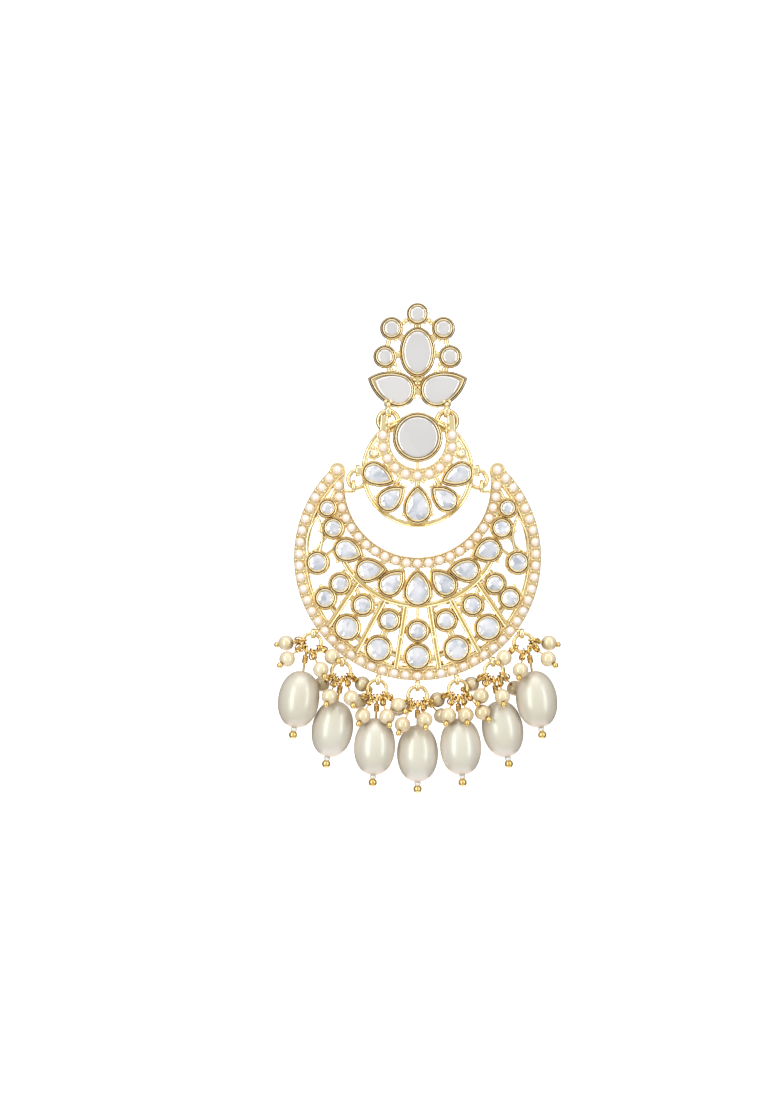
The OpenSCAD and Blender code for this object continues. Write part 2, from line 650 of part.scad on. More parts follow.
module crescent_outer_pearls() {
    last = outer_pearl_count - 1;
    color("#f3ead8") for (k = [0:last])
        half_pearl(polar(crescent_c, crescent_r - outer_pearl_in,
            lerp(-outer_pearl_end, outer_pearl_end, k / last)), crescent_floor);
}
module crescent_mouth_pearls() {
    last = mouth_pearl_count - 1;
    color("#f3ead8") for (k = [0:last])
        half_pearl(polar(mouth_c, mouth_r + mouth_pearl_in,
            lerp(-mouth_pearl_end, mouth_pearl_end, k / last)), crescent_floor);
}
module upper_ring(side) {
    color("#e8cf95") front_ring([side * upper_ring_c.x, upper_ring_c.y], hang_y, upper_mean, upper_wire / 2);
}
module side_ring(side) {
    color("#e8cf95") front_ring([side * side_ring_c.x, side_ring_c.y], hang_y, side_mean, side_wire / 2);
}
module drop_ring(i) {
    color("#e8cf95") front_ring(drop_ring_c(i), hang_y, drop_mean, drop_wire / 2);
}

// Headpins: a loop round the ring's wire, a coiled neck, a shank and a ball below the bead
module headpin(p, tangent, d, loop_in, wire_r, neck_l, neck_r, shank, ball_r) {
    n = unit(tangent - (tangent * d) * d);
    mean = loop_in + wire_r;
    axes_at(p, n, cross(d, n), d) {
        rotate([0, 90, 0]) torus(mean, wire_r);
        translate([0, 0, mean]) cylinder(r = neck_r, h = neck_l);
        translate([0, 0, mean]) cylinder(r = wire_r * 0.85, h = shank - mean);
        translate([0, 0, shank]) sphere(ball_r);
    }
}
pin_wire = 0.25; // radius of the pearls' pins
pin_loop = 0.6; // inner radius of their loops
function pin_dir(i) = let (r = drop_row(i)) unit([drop_side(i) * r[2] * sin(r[3]), r[4], -r[2] * cos(r[3])]);
function pin_top(i) = on_ring(i, drop_side(i) * drop_row(i)[1]);
function pearl_way(i) = pearl_l * drop_row(i)[2];
neck_l = 1.4; // length and radius of the wound necks above the pearls
neck_r = 0.48;
spacer_l = 0.7; // room for the spacer bead under a pearl
pin_ball_r = 0.78;
module drop_pin(i) {
    reach = pearl_way(i) + pearl_l / 2 + spacer_l + pin_ball_r * 0.8;
    headpin(pin_top(i), ring_tangent(drop_side(i) * drop_row(i)[1]), pin_dir(i),
        pin_loop, pin_wire, neck_l, neck_r, reach, pin_ball_r);
}
module drop_pins() {
    color("#dcb35c") for (i = DROPS) drop_pin(i);
}
pearl_bore = 0.35; // radius of the pearls' holes
module pearl(i) {
    d = pin_dir(i);
    n = unit(cross([0, 1, 0], d));
    outline = [for (k = [0:16]) let (a = 90 - 180 * k / 16)
        [max(pearl_bore, pearl_w / 2 * pow(cos(a), 0.86)), pearl_l / 2 * sin(a)]];
    color("#e9e5d2") axes_at(pin_top(i) + pearl_way(i) * d, n, cross(d, n), d)
        rotate_extrude() polygon(concat([[pearl_bore, pearl_l / 2 * 0.985]],
            [for (k = [1:15]) outline[k]], [[pearl_bore, -pearl_l / 2 * 0.985]]));
}
// Cluster beads, four at each drop ring from left to right: angle of the pin's loop on the ring,
// turn of the pin in the front view, lean to the back, and way down the pin in bead diameters
CLUSTERS = [
    [[-106, 26, 32, 1.276], [-75, 26, -34, 1.517], [0, 30, -46, 1.724], [62, -7, -45, 1.345]],
    [[-62, 10, 48, 1.345], [-31, 9, -42, 1.483], [35, -20, -46, 1.690], [66, -12, 34, 1.172]],
    [[-62, 12, 48, 1.207], [-31, 3, -40, 1.621], [31, -15, -40, 1.552], [62, -12, -32, 1.241]],
    [[-62, 10, 42, 1.241], [-31, 4, -38, 1.793], [33, -26, -50, 1.483], [64, -20, 20, 1.517]],
    [[-64, 2, 40, 1.138], [-33, 17, -42, 1.517], [33, -25, -47, 1.552], [64, -23, -34, 1.793]],
    [[-66, 10, 30, 1.207], [-37, 12, -40, 1.483], [35, -27, -48, 1.586], [68, -26, 42, 1.586]],
    [[-62, 12, -45, 1.345], [0, -12, -46, 1.586], [75, -26, -34, 1.517], [106, -26, 32, 1.276]]];
pin_fine = 0.18; // radius of the clusters' pins
loop_fine = 0.52;
bead_ball_r = 0.55;
bead_gap = 0.05; // between a bead and the ball under it
fine_neck_l = 0.85;
fine_neck_r = 0.34;
function bead_way(c) = bead_d * c[3];
function cluster_dir(c) = let (a = c[0] + c[1], lean = c[2])
    [cos(lean) * sin(a), sin(lean), -cos(lean) * cos(a)];
module cluster_bead(i, c) {
    d = cluster_dir(c);
    n = unit(cross([0, 1, 0], d));
    axes_at(on_ring(i, c[0]) + bead_way(c) * d, n, cross(d, n), d) difference() {
        sphere(d = bead_d);
        cylinder(r = pin_fine + 0.1, h = bead_d + 1, center = true);
    }
}
module cluster_pin(i, c) {
    headpin(on_ring(i, c[0]), ring_tangent(c[0]), cluster_dir(c), loop_fine, pin_fine,
        fine_neck_l, fine_neck_r, bead_way(c) + bead_d / 2 + bead_ball_r + bead_gap, bead_ball_r);
}
module cluster_beads() {
    color("#e2cf9c") for (i = DROPS) for (c = CLUSTERS[i - 1]) cluster_bead(i, c);
}
module cluster_pins() {
    color("#dcb35c") for (i = DROPS) for (c = CLUSTERS[i - 1]) cluster_pin(i, c);
}

stud_frame();
ear_post();
oval_stone();
for (i = [1:5]) stud_round_stone(i - 1);
stud_pear(-1);  // stud_pear_left
stud_pear(1);  // stud_pear_right
medallion_frame();
medallion_centre_stone();
for (i = [1:5]) medallion_pear(i - 1);
medallion_pearls();
upper_ring(-1);  // upper_ring_left
upper_ring(1);  // upper_ring_right
side_ring(-1);  // side_ring_left
side_ring(1);  // side_ring_right
crescent_frame();
for (i = [1:7]) crescent_pear(i);
crescent_round_stones();
crescent_outer_pearls();
crescent_mouth_pearls();
for (i = DROPS) drop_ring(i);
for (i = DROPS) pearl(i);
drop_pins();
cluster_beads();
cluster_pins();
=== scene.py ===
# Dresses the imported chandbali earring: rounded cast frames, faceted stones, smooth pearls, coiled
# pins and small grains, in a white studio. Drawings are in millimetres, in the CAD's front view.
import bpy, bmesh
from math import atan2, cos, hypot, pi, radians, sin, sqrt
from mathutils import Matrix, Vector
from mathutils.bvhtree import BVHTree


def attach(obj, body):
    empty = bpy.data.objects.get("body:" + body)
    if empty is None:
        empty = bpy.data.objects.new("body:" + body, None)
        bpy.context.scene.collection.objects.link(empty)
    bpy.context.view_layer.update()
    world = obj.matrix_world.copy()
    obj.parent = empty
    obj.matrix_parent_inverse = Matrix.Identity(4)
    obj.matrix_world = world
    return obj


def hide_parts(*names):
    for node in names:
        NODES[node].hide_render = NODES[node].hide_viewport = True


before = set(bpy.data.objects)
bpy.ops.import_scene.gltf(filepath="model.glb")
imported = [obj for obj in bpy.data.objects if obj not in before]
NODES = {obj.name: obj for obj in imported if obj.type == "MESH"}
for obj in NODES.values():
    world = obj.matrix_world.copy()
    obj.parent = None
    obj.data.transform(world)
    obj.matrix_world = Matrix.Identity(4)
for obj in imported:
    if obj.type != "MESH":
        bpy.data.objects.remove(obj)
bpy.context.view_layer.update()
MM = 0.001
scene = bpy.context.scene

# Sizes that the CAD has too
oval_w, oval_h = 6.4, 9.0
stud_round_d = 4.05
stud_leaf_d, stud_leaf_l = 6.25, 5.9
medallion_d, rim_w = 20.6, 0.95
big_round_d, pearl_row_r = 8.9, 6.45
crescent_d, mouth_d, mouth_rise = 45.4, 26.9, 13.4
outer_band_w, mouth_band_w = 2.4, 1.95
plate_t, setting_w, stone_gap = 0.9, 0.46, 0.08
upper_ring_d, upper_wire = 2.56, 1.0
side_ring_d, side_wire = 2.36, 0.8
drop_ring_d, drop_wire = 2.8, 0.7
pearl_w, pearl_l = 7.6, 10.5
eyelet_gap, eyelet_wall, seat_gap = 0.12, 0.5, 0.02

# Sizes that only this script has
stone_h = 1.0  # height of the stones
cup_r, cup_wire, cup_sink = 0.87, 0.1, 0.03  # the thin rings round the half pearls
coil_wire, loop_wire = 0.13, 0.15  # wire of the wound necks, and of the loose loops under them
wire_w, wire_h, wire_groove = 1.05, 0.5, 0.28  # the crescent's double wires, over its plate
thin_wire_w, thin_wire_groove = 0.7, 0.18
curl_wire = 0.17
stud_foot, big_foot, medallion_foot = 0.13, 0.15, 0.2  # how far a setting's foot stands out
leaf_foot, round_foot, wide_round_foot = 0.26, 0.3, 0.22
peg_eyelet_t, rim_loop_t = 1.15, 0.75  # thickness of the rounded eyelets
grain_out = 0.1  # height of the grains' middles over a plate
pearl_skin, metal_skin, stone_skin = 0.00001, 0.00002, 0.00012  # heights of the reliefs, in metres


# Small drawing helpers
def polar(c, r, a):
    """The point at angle a from straight down, positive towards +X."""
    a = radians(a)
    return (c[0] + r * sin(a), c[1] - r * cos(a))


def lerp(p, q, s):
    return (p[0] + (q[0] - p[0]) * s, p[1] + (q[1] - p[1]) * s)


def dist(p, q):
    return hypot(q[0] - p[0], q[1] - p[1])


def on_side(p, s):
    """The point p on the right, s = 1, or mirrored to the left, s = -1."""
    return (s * p[0], p[1])


def middle(path):
    return (sum(v[0] for v in path) / len(path), sum(v[1] for v in path) / len(path))


def turn(n):
    """n equal steps round a full turn, in radians."""
    return [2 * pi * k / n for k in range(n)]


def oval(rx, ry, n):
    return [(rx * cos(a), ry * sin(a)) for a in turn(n)]


def circle(c, r, n, start=0):
    return [(c[0] + r * cos(start + a), c[1] + r * sin(start + a)) for a in turn(n)]


def arc(c, r, a0, a1, n):
    return [polar(c, r, a0 + (a1 - a0) * k / n) for k in range(n + 1)]


def leaf(p, q, r, l, flank=6, body=18):
    """A leaf outline: round body of radius r about p, tip towards q at length l."""
    big = max(1.25 * l, 1.2 * r)
    cy = ((big - r) ** 2 + l * l - big * big) / (2 * l)
    cx = sqrt((big - r) ** 2 - cy * cy)
    tip_a, body_a = atan2(l - cy, cx), atan2(-cy, cx)
    flank_turns = [tip_a + (body_a - tip_a) * k / flank for k in range(flank + 1)]
    right = [(-cx + big * cos(a), cy + big * sin(a)) for a in flank_turns]
    end = -pi - body_a
    body_turns = [body_a + (end - body_a) * k / body for k in range(1, body)]
    low = [(r * cos(a), r * sin(a)) for a in body_turns]
    pts = right + low + [on_side(right[k], -1) for k in range(flank, 0, -1)]
    lean = atan2(q[1] - p[1], q[0] - p[0]) - pi / 2
    c, s = cos(lean), sin(lean)
    return [(p[0] + x * c - y * s, p[1] + x * s + y * c) for x, y in pts]


def thin_leaf(p, q, r, l, n):
    """A leaf outline with n corners, for cut stones."""
    full = leaf(p, q, r, l)
    step = len(full) / n
    return [full[int(round(k * step)) % len(full)] for k in range(n)]


def on_row(row, r, k):
    """The place of half pearl k in a row of (centre, end angle, count), at radius r."""
    c, end, count = row
    return polar(c, r, -end + 2 * end * k / (count - 1))


def hole_r(mean, wire, t):
    """The radius of the hole for a ring of mean radius and wire, in an eyelet of thickness t."""
    return mean - sqrt((mean - wire / 2) ** 2 - t * t / 4) + eyelet_gap


def across(d):
    """Two directions square to d and to each other."""
    side = d.orthogonal().normalized()
    return side, d.cross(side)


def turned(c, d, steps, n):
    """Rings of n points about the line from c along d, from (reach, radius) steps."""
    side, up = across(d)
    return [[c + d * h + r * (cos(a) * side + sin(a) * up) for a in turn(n)] for h, r in steps]


# Mesh builder: everything one piece holds is gathered in one bmesh
class Piece:
    def __init__(self, name, body, mat, slot, replaces=()):
        self.name, self.body, self.mat, self.slot, self.nodes = name, body, mat, slot, replaces
        self.bm = bmesh.new()

    def tube(self, rings, closed=False):
        bm = self.bm
        vs = [[bm.verts.new(Vector(p) * MM) for p in ring] for ring in rings]
        n = len(vs[0])
        for i in range(len(vs) if closed else len(vs) - 1):
            a, b = vs[i], vs[(i + 1) % len(vs)]
            for k in range(n):
                bm.faces.new((a[k], a[(k + 1) % n], b[(k + 1) % n], b[k]))
        if not closed:
            bm.faces.new(vs[0])
            bm.faces.new(vs[-1])

    def sweep(self, path, profile, y0, closed=True):
        """Sweeps a profile of (outward, forward) steps along a path in the front view."""
        n = len(path)
        pairs = [(path[k], path[(k + 1) % n]) for k in range(n)]
        area = sum(a[0] * b[1] - b[0] * a[1] for a, b in pairs)
        side = 1 if area > 0 or not closed else -1
        rings = []
        for k in range(n):
            ends = [(k - 1) % n, k, (k + 1) % n] if closed else [max(k - 1, 0), k, min(k + 1, n - 1)]
            a, b, c = (path[e] for e in ends)
            dirs = [(v[0] - u[0], v[1] - u[1]) for u, v in ((a, b), (b, c)) if dist(u, v) > 1e-9]
            dirs = [(d[0] / hypot(*d), d[1] / hypot(*d)) for d in dirs]
            t = (sum(d[0] for d in dirs), sum(d[1] for d in dirs))
            m = hypot(*t) or 1
            t = (t[0] / m, t[1] / m)
            # A sharp corner is stretched to keep the width, up to this share
            stretch = min(1.7, len(dirs) / m)
            nx, nz = side * t[1] * stretch, -side * t[0] * stretch
            rings.append([(b[0] + nx * u, y0 - d, b[1] + nz * u) for u, d in profile])
        self.tube(rings, closed)

    def dome(self, path, y0, steps):
        """Shrinks an outline towards its middle in (share, forward) steps."""
        c = middle(path)
        self.tube([[(x, y0 - d, z) for x, z in (lerp(c, v, k) for v in path)] for k, d in steps])

    def cup(self, path, y0, t):
        """A setting's bottom, slightly domed behind."""
        self.dome(path, y0, [(.02, 0), (.9, 0), (.92, -t + .1), (.88, -t + .01), (.84, -t + .015),
                             (.8, -t - .02), (.6, -t - .07), (.3, -t - .1), (.02, -t - .11)])

    def cups(self, row, r, y):
        """A thin ring round each half pearl of a row."""
        for k in range(row[2]):
            x, z = on_row(row, r, k)
            pts = [(x + cup_r * cos(a), y, z + cup_r * sin(a)) for a in turn(18)]
            self.round_wire(pts, cup_wire, 6, closed=True)

    def pearl_grains(self, row, y, edges, sides, rows):
        """Grains between the half pearls of a row, at each (reach, radius) of its edges."""
        for k in range(row[2] - 1):
            for r, size in edges:
                x, z = on_row(row, r, k + .5)
                self.ball((x, y, z), size, sides, rows)

    def bar(self, p, q, w, y0, d0, d1):
        self.sweep([p, q], rounded(w, d0, d1), y0, closed=False)

    def washer(self, c, r_in, t, wall=eyelet_wall):
        """An eyelet in the plane of the rings, whose hole runs along X."""
        m, h, e = r_in + wall / 2, wall / 2, t / 2
        prof = [(m + h * cos(a), e * sin(a)) for a in turn(14)]
        self.tube([[(c[0] + x, hang_y + r * cos(a), c[1] + r * sin(a)) for r, x in prof]
                   for a in turn(32)], closed=True)

    def ball(self, p, r, sides=12, rows=8):
        rings = []
        for k in range(rows + 1):
            a = pi * (.04 + .92 * k / rows)
            flat = r * sin(a)
            y = p[1] + r * cos(a)
            rings.append([(p[0] + flat * cos(x), y, p[2] + flat * sin(x)) for x in turn(sides)])
        self.tube(rings)

    def grains(self, spots, y, metal_tree=None):
        """Small balls at (x, z, radius), each drawn to the metal beside it."""
        tree = metal_tree or BVHTree.FromBMesh(self.bm)
        for x, z, r in spots:
            spot = Vector((x, y, z))
            near = tree.find_nearest(spot * MM)[0] / MM
            if (near - spot).length > r * .6:
                spot = near + (spot - near).normalized() * r * .4
            self.ball(spot, r)

    def round_wire(self, pts, r, n=8, closed=False):
        """A round wire through points in space."""
        pts = [Vector(p) for p in pts]
        rings, side = [], None
        for k, p in enumerate(pts):
            a = pts[k - 1] if k or closed else p
            b = pts[(k + 1) % len(pts)] if k < len(pts) - 1 or closed else p
            t = (b - a).normalized()
            side = side - side.dot(t) * t if side is not None else t.orthogonal()
            side.normalize()
            up = t.cross(side)
            rings.append([p + r * (cos(x) * side + sin(x) * up) for x in turn(n)])
        self.tube(rings, closed)

    def curl(self, c, s, y, r, wire, start, step, count, shrink=0, rise=0):
        """A wire curled about c on side s, its radius smaller by shrink at each step."""
        pts = []
        for k in range(count):
            a, reach = radians(start + step * k), r - shrink * k
            pts.append((s * (c[0] + reach * cos(a)), y - rise * k, c[1] + reach * sin(a)))
        self.round_wire(pts, wire)

    def coil(self, start, d, length, r, turns):
        """A wire wound round a pin, from start along d."""
        side, up = across(d)
        n = turns * 12
        pts = []
        for k in range(n + 1):
            a = 2 * pi * k / 12
            pts.append(start + d * (length * k / n) + r * (cos(a) * side + sin(a) * up))
        self.round_wire(pts, coil_wire, 6)

    def done(self, smooth=50):
        bm = self.bm
        bmesh.ops.recalc_face_normals(bm, faces=bm.faces)
        mesh = bpy.data.meshes.new(self.name)
        for f in bm.faces:
            f.smooth = smooth > 0
        bm.to_mesh(mesh)
        bm.free()
        if smooth:
            mesh.set_sharp_from_angle(angle=radians(smooth))
        mesh.materials.append(self.mat)
        obj = bpy.data.objects.new(self.name, mesh)
        scene.collection.objects.link(obj)
        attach(obj, self.body)
        if self.nodes:
            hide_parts(*self.nodes)


# Profiles of (outward, forward) steps from the front face of a plate
def rounded(w, d0, d1):
    r = min(w, d1 - d0) * 0.36
    h = w / 2
    return [(-h, d0 + r), (-h, d1 - r), (-h + r * .3, d1 - r * .3), (-h + r, d1), (h - r, d1),
            (h - r * .3, d1 - r * .3), (h, d1 - r), (h, d0 + r), (h - r, d0), (-h + r, d0)]


def double_wire(w, d0, d1, groove):
    """A wire with two rounded ridges and a groove between them."""
    half = [(.08, d1 - groove * .7), (.2, d1 - .04), (.32, d1), (.44, d1 - .08), (.5, d1 - .22),
            (.5, d0 + .1), (.42, d0)]
    left = [(-w * u, d) for u, d in half[-2::-1]]
    return left + [(0, d1 - groove)] + [(w * u, d) for u, d in half] + [(-w * half[-1][0], d0)]


def bezel(t, foot):
    """A setting's wall: a rounded foot, a groove, and a lip that leans over the stone's edge."""
    outside = [(foot * .7, -t + .1), (foot, -t + .3), (foot, -.02), (foot * .82, .16), (foot * .45, .24),
               (foot * .15, .2), (0, .4), (0, .64)]
    ridge = [(-.03, .76), (-.09, .84), (-.16, .82), (-.2, .7), (-.23, .56)]
    lip = [(-.27, .6), (-.3, .82), (-.35, .99), (-.42, 1.08), (-.51, 1.09), (-.58, 1.04), (-.62, .95),
           (-.61, .84), (-.5, .72)]
    inside = [(-.47, .4), (-.46, -.03), (-.46, -t + .05), (-.12, -t)]
    return outside + ridge + lip + inside


# Bands of half pearls, each with two raised edges and a channel behind
MEDALLION_BAND = [(-1.2, -.8), (-1.2, .02), (-1.13, .12), (-1.03, .12), (-.95, .02), (-.85, 0),
                  (.85, 0), (.93, .02), (1.02, .12), (1.13, .12), (1.22, .02), (1.22, -.8),
                  (1.1, -.9), (.85, -.9), (.72, -.83), (-.72, -.83), (-.85, -.9), (-1.1, -.9)]
OUTER_BAND = [(-1.45, -.8), (-1.45, -.1), (-1.3, -.02), (-1.2, .15), (-1.13, .27), (-1.03, .3),
              (-.93, .26), (-.87, .1), (-.8, 0), (1.0, 0), (1.07, .09), (1.14, .09), (1.2, -.02),
              (1.2, -.8), (1.1, -.9), (.8, -.9), (.68, -.83), (-.68, -.83), (-.8, -.9), (-1.1, -.9)]
MOUTH_BAND = [(-.975, -.8), (-.975, .14), (-.93, .26), (-.87, .3), (-.81, .26), (-.77, .12), (-.74, 0),
              (.82, 0), (.88, .09), (.94, .08), (.975, -.02), (.975, -.8), (.9, -.9), (.66, -.9),
              (.55, -.83), (-.55, -.83), (-.66, -.9), (-.9, -.9)]


# Materials
def new_mat(name):
    m = bpy.data.materials.new(name)
    m.use_nodes = True
    return m, m.node_tree.nodes, m.node_tree.links, m.node_tree.nodes["Principled BSDF"]


def node(nodes, kind, **values):
    n = nodes.new(kind)
    for k, v in values.items():
        if k in n.inputs:
            n.inputs[k].default_value = v
        else:
            setattr(n, k, v)
    return n


def ramp(nodes, stops):
    n = nodes.new("ShaderNodeValToRGB")
    e = n.color_ramp.elements
    while len(e) < len(stops):
        e.new(0.5)
    for k, (at, col) in enumerate(stops):
        e[k].position = at
        e[k].color = (*col, 1)
    return n


def noise(nodes, links, place, scale, detail):
    n = node(nodes, "ShaderNodeTexNoise", Scale=scale, Detail=detail)
    links.new(place.outputs["Object"], n.inputs["Vector"])
    return n


def painted_near_shade(nodes, links, colour, deep, reach, span, shader):
    """Paints shade into the colour: turns it to a deeper one where other surfaces are nearer than reach,
    as in crevices and between parts.
    """
    ao = node(nodes, "ShaderNodeAmbientOcclusion", Distance=reach * MM)
    ao.samples = 8
    depth = ramp(nodes, [(span[0], (1, 1, 1)), (span[1], (0, 0, 0))])
    mix = node(nodes, "ShaderNodeMix", data_type="RGBA")
    links.new(ao.outputs["AO"], depth.inputs["Fac"])
    links.new(depth.outputs["Color"], mix.inputs["Factor"])
    links.new(colour, mix.inputs["A"])
    mix.inputs["B"].default_value = (*deep, 1)
    links.new(mix.outputs["Result"], shader.inputs["Base Color"])


def gloss(nodes, links, texture, low, high):
    """A roughness between low and high, as the texture says."""
    n = node(nodes, "ShaderNodeMapRange", **{"To Min": low, "To Max": high})
    links.new(texture.outputs["Fac"], n.inputs["Value"])
    return n.outputs["Result"]


def relief(nodes, links, texture, strength, height, shader):
    n = node(nodes, "ShaderNodeBump", Strength=strength, Distance=height)
    links.new(texture.outputs["Fac"], n.inputs["Height"])
    links.new(n.outputs["Normal"], shader.inputs["Normal"])


# deep is a painted shade colour: painted into crevices and between parts, and on backward faces where
# that is set
def metal(name, bright, mid, deep, rough=0.11, skin=0.3, crevice_shade_reach=0.5, rear_painted_shade=0.0):
    m, N, L, b = new_mat(name)
    place = N.new("ShaderNodeTexCoord")
    cloud = noise(N, L, place, 520.0, 4.0)
    fine = noise(N, L, place, 5200.0, 3.0)
    tone = ramp(N, [(0.32, mid), (0.62, bright)])
    L.new(cloud.outputs["Fac"], tone.inputs["Fac"])
    # Faces turned backwards are satin, and a painted shade makes them darker against the bright back
    # wall's reflection
    facing = N.new("ShaderNodeSeparateXYZ")
    L.new(place.outputs["Normal"], facing.inputs[0])
    rear = node(N, "ShaderNodeMapRange", **{"From Min": 0.35, "From Max": 0.85, "To Max": rear_painted_shade})
    L.new(facing.outputs["Y"], rear.inputs["Value"])
    rear_shaded_colour = node(N, "ShaderNodeMix", data_type="RGBA")
    L.new(rear.outputs["Result"], rear_shaded_colour.inputs["Factor"])
    L.new(tone.outputs["Color"], rear_shaded_colour.inputs["A"])
    rear_shaded_colour.inputs["B"].default_value = (*deep, 1)
    # Painted shade: the colour turns to deep where other surfaces are near
    painted_near_shade(N, L, rear_shaded_colour.outputs["Result"], deep, crevice_shade_reach, (0.15, 0.58), b)
    satin = node(N, "ShaderNodeMath", operation="MULTIPLY_ADD")
    L.new(rear.outputs["Result"], satin.inputs[0])
    satin.inputs[1].default_value = 0.45
    L.new(gloss(N, L, cloud, rough * 0.75, rough * 1.5), satin.inputs[2])
    L.new(satin.outputs[0], b.inputs["Roughness"])
    relief(N, L, fine, skin, metal_skin, b)
    b.inputs["Metallic"].default_value = 1.0
    return m


# near is a painted colour where other surfaces are closer than reach: painted shade, and on the half
# pearls also a painted reflection of the gold
def pearl_mat(name, light, warm, scale, near=None, reach=1.0, rough=0.22, pits=0.12, coat=0.8,
              sheen_rough=0.09):
    m, N, L, b = new_mat(name)
    place = N.new("ShaderNodeTexCoord")
    cloud = noise(N, L, place, scale, 3.0)
    grain = noise(N, L, place, 2600.0, 2.0)
    tone = ramp(N, [(0.34, warm), (0.64, light)])
    L.new(cloud.outputs["Fac"], tone.inputs["Fac"])
    if near:
        painted_near_shade(N, L, tone.outputs["Color"], near, reach, (0.25, 0.95), b)
    else:
        L.new(tone.outputs["Color"], b.inputs["Base Color"])
    L.new(gloss(N, L, grain, rough * 0.8, rough * 1.25), b.inputs["Roughness"])
    relief(N, L, grain, pits, pearl_skin, b)
    b.inputs["Coat Weight"].default_value = coat
    b.inputs["Coat Roughness"].default_value = sheen_rough
    b.inputs["Specular IOR Level"].default_value = 0.6
    b.inputs["Metallic"].default_value = 0.18
    b.inputs["Thin Film Thickness"].default_value = 380.0
    return m


def stone_mat(name, tones, scale, rough, crinkle, metallic):
    m, N, L, b = new_mat(name)
    place = N.new("ShaderNodeTexCoord")
    cells = node(N, "ShaderNodeTexVoronoi", Scale=scale, Randomness=1.0)
    L.new(place.outputs["Object"], cells.inputs["Vector"])
    cloud = noise(N, L, place, scale * 0.6, 2.0)
    mixed = node(N, "ShaderNodeMath", operation="MULTIPLY_ADD")
    L.new(cells.outputs["Color"], mixed.inputs[0])
    mixed.inputs[1].default_value = 0.55
    L.new(cloud.outputs["Fac"], mixed.inputs[2])
    shift = node(N, "ShaderNodeMath", operation="SUBTRACT")
    L.new(mixed.outputs[0], shift.inputs[0])
    shift.inputs[1].default_value = 0.27
    tone = ramp(N, tones)
    L.new(shift.outputs[0], tone.inputs["Fac"])
    L.new(tone.outputs["Color"], b.inputs["Base Color"])
    L.new(gloss(N, L, cloud, rough * 0.7, rough * 1.6), b.inputs["Roughness"])
    relief(N, L, cloud, crinkle, stone_skin, b)
    b.inputs["Metallic"].default_value = metallic
    b.inputs["Coat Weight"].default_value = 1.0
    b.inputs["Coat Roughness"].default_value = 0.02
    b.inputs["Coat IOR"].default_value = 1.6
    return m


# Each metal's third colour is its painted shade, for crevices and between parts
AMBER = metal("amber_gold", (0.56, 0.36, 0.12), (0.42, 0.25, 0.07), (0.16, 0.08, 0.02), rough=0.25)
GOLD = metal("cast_gold", (0.93, 0.795, 0.49), (0.89, 0.735, 0.42), (0.47, 0.31, 0.12), crevice_shade_reach=0.6,
             rear_painted_shade=0.45)
WIRE = metal("ring_wire", (0.90, 0.71, 0.38), (0.84, 0.62, 0.29), (0.44, 0.28, 0.09), rough=0.12,
             skin=0.15, crevice_shade_reach=0.7)
PIN = metal("pin_wire", (0.85, 0.62, 0.25), (0.76, 0.49, 0.15), (0.34, 0.20, 0.06), rough=0.14,
            skin=0.15, crevice_shade_reach=0.8)
OVAL_PEARL = pearl_mat("oval_pearl", (0.72, 0.675, 0.565), (0.67, 0.61, 0.48), 90.0, rough=0.3,
                       pits=0.03, coat=0.5, sheen_rough=0.2)
# The half pearls get a painted shade and a painted orange reflection of the gold band at their edges
HALF_PEARL = pearl_mat("half_pearl", (0.95, 0.86, 0.80), (0.94, 0.79, 0.64), 700.0, (0.88, 0.60, 0.26),
                       1.4, rough=0.14)
# The beads get a painted darker gold shade where other surfaces are near
BEAD = pearl_mat("champagne_bead", (0.85, 0.74, 0.51), (0.76, 0.62, 0.37), 230.0, (0.50, 0.35, 0.13),
                 2.0, rough=0.12)
SPACER = pearl_mat("spacer_bead", (0.93, 0.92, 0.89), (0.88, 0.86, 0.80), 400.0)
MIRROR = stone_mat("mirror_stone", [(0.2, (0.66, 0.645, 0.63)), (0.8, (0.76, 0.74, 0.73))],
                   130.0, 0.08, 0.08, 0.5)
ICE = stone_mat("cut_stone", [(0.15, (0.50, 0.54, 0.60)), (0.45, (0.72, 0.74, 0.80)),
                              (0.8, (0.92, 0.92, 0.95))], 900.0, 0.07, 0.5, 0.6)

# Places in the stud, from the post's root at the origin
oval_r = (oval_w / 2, oval_h / 2)
stud_round_r, stud_leaf_r = stud_round_d / 2, stud_leaf_d / 2
stone_in = setting_w + stone_gap
leaf_stone_in = 2.2 * stone_in  # a leaf stone's tip stays further inside its setting
STUD_ROUNDS = [(90, 0.47), (137.5, 0.79), (42.5, 0.79), (188, 0.81), (-8, 0.81)]  # angle, neck
leaf_apart, leaf_lift, leaf_rise = 0.42, 0.62, radians(22)
stud_leaf = (stud_leaf_r + leaf_apart, -oval_r[1] - stud_leaf_r + leaf_lift)
stud_tip = (stud_leaf[0] + stud_leaf_l * cos(leaf_rise),
            stud_leaf[1] + stud_leaf_l * sin(leaf_rise))
peg_out, peg_drop, peg_t, peg_l = 1.85, 0.74, 1.5, 3
peg_x = stud_leaf[0] + peg_out
swing_z = stud_leaf[1] - stud_leaf_r - peg_drop

# The plane in which the rings hang, and the front faces of the three plates
upper_mean, side_mean = (upper_ring_d + upper_wire) / 2, (side_ring_d + side_wire) / 2
drop_mean = (drop_ring_d + drop_wire) / 2
peg_hole_r = hole_r(upper_mean, upper_wire, peg_t)
hang_y = -(peg_hole_r + eyelet_wall)
stud_t = plate_t + 0.1
stud_y = -stud_t
ring_to_rim = 0.3
medallion_y = hang_y - upper_wire / 2 - ring_to_rim - plate_t
crescent_y = hang_y + plate_t * 0.75 - plate_t

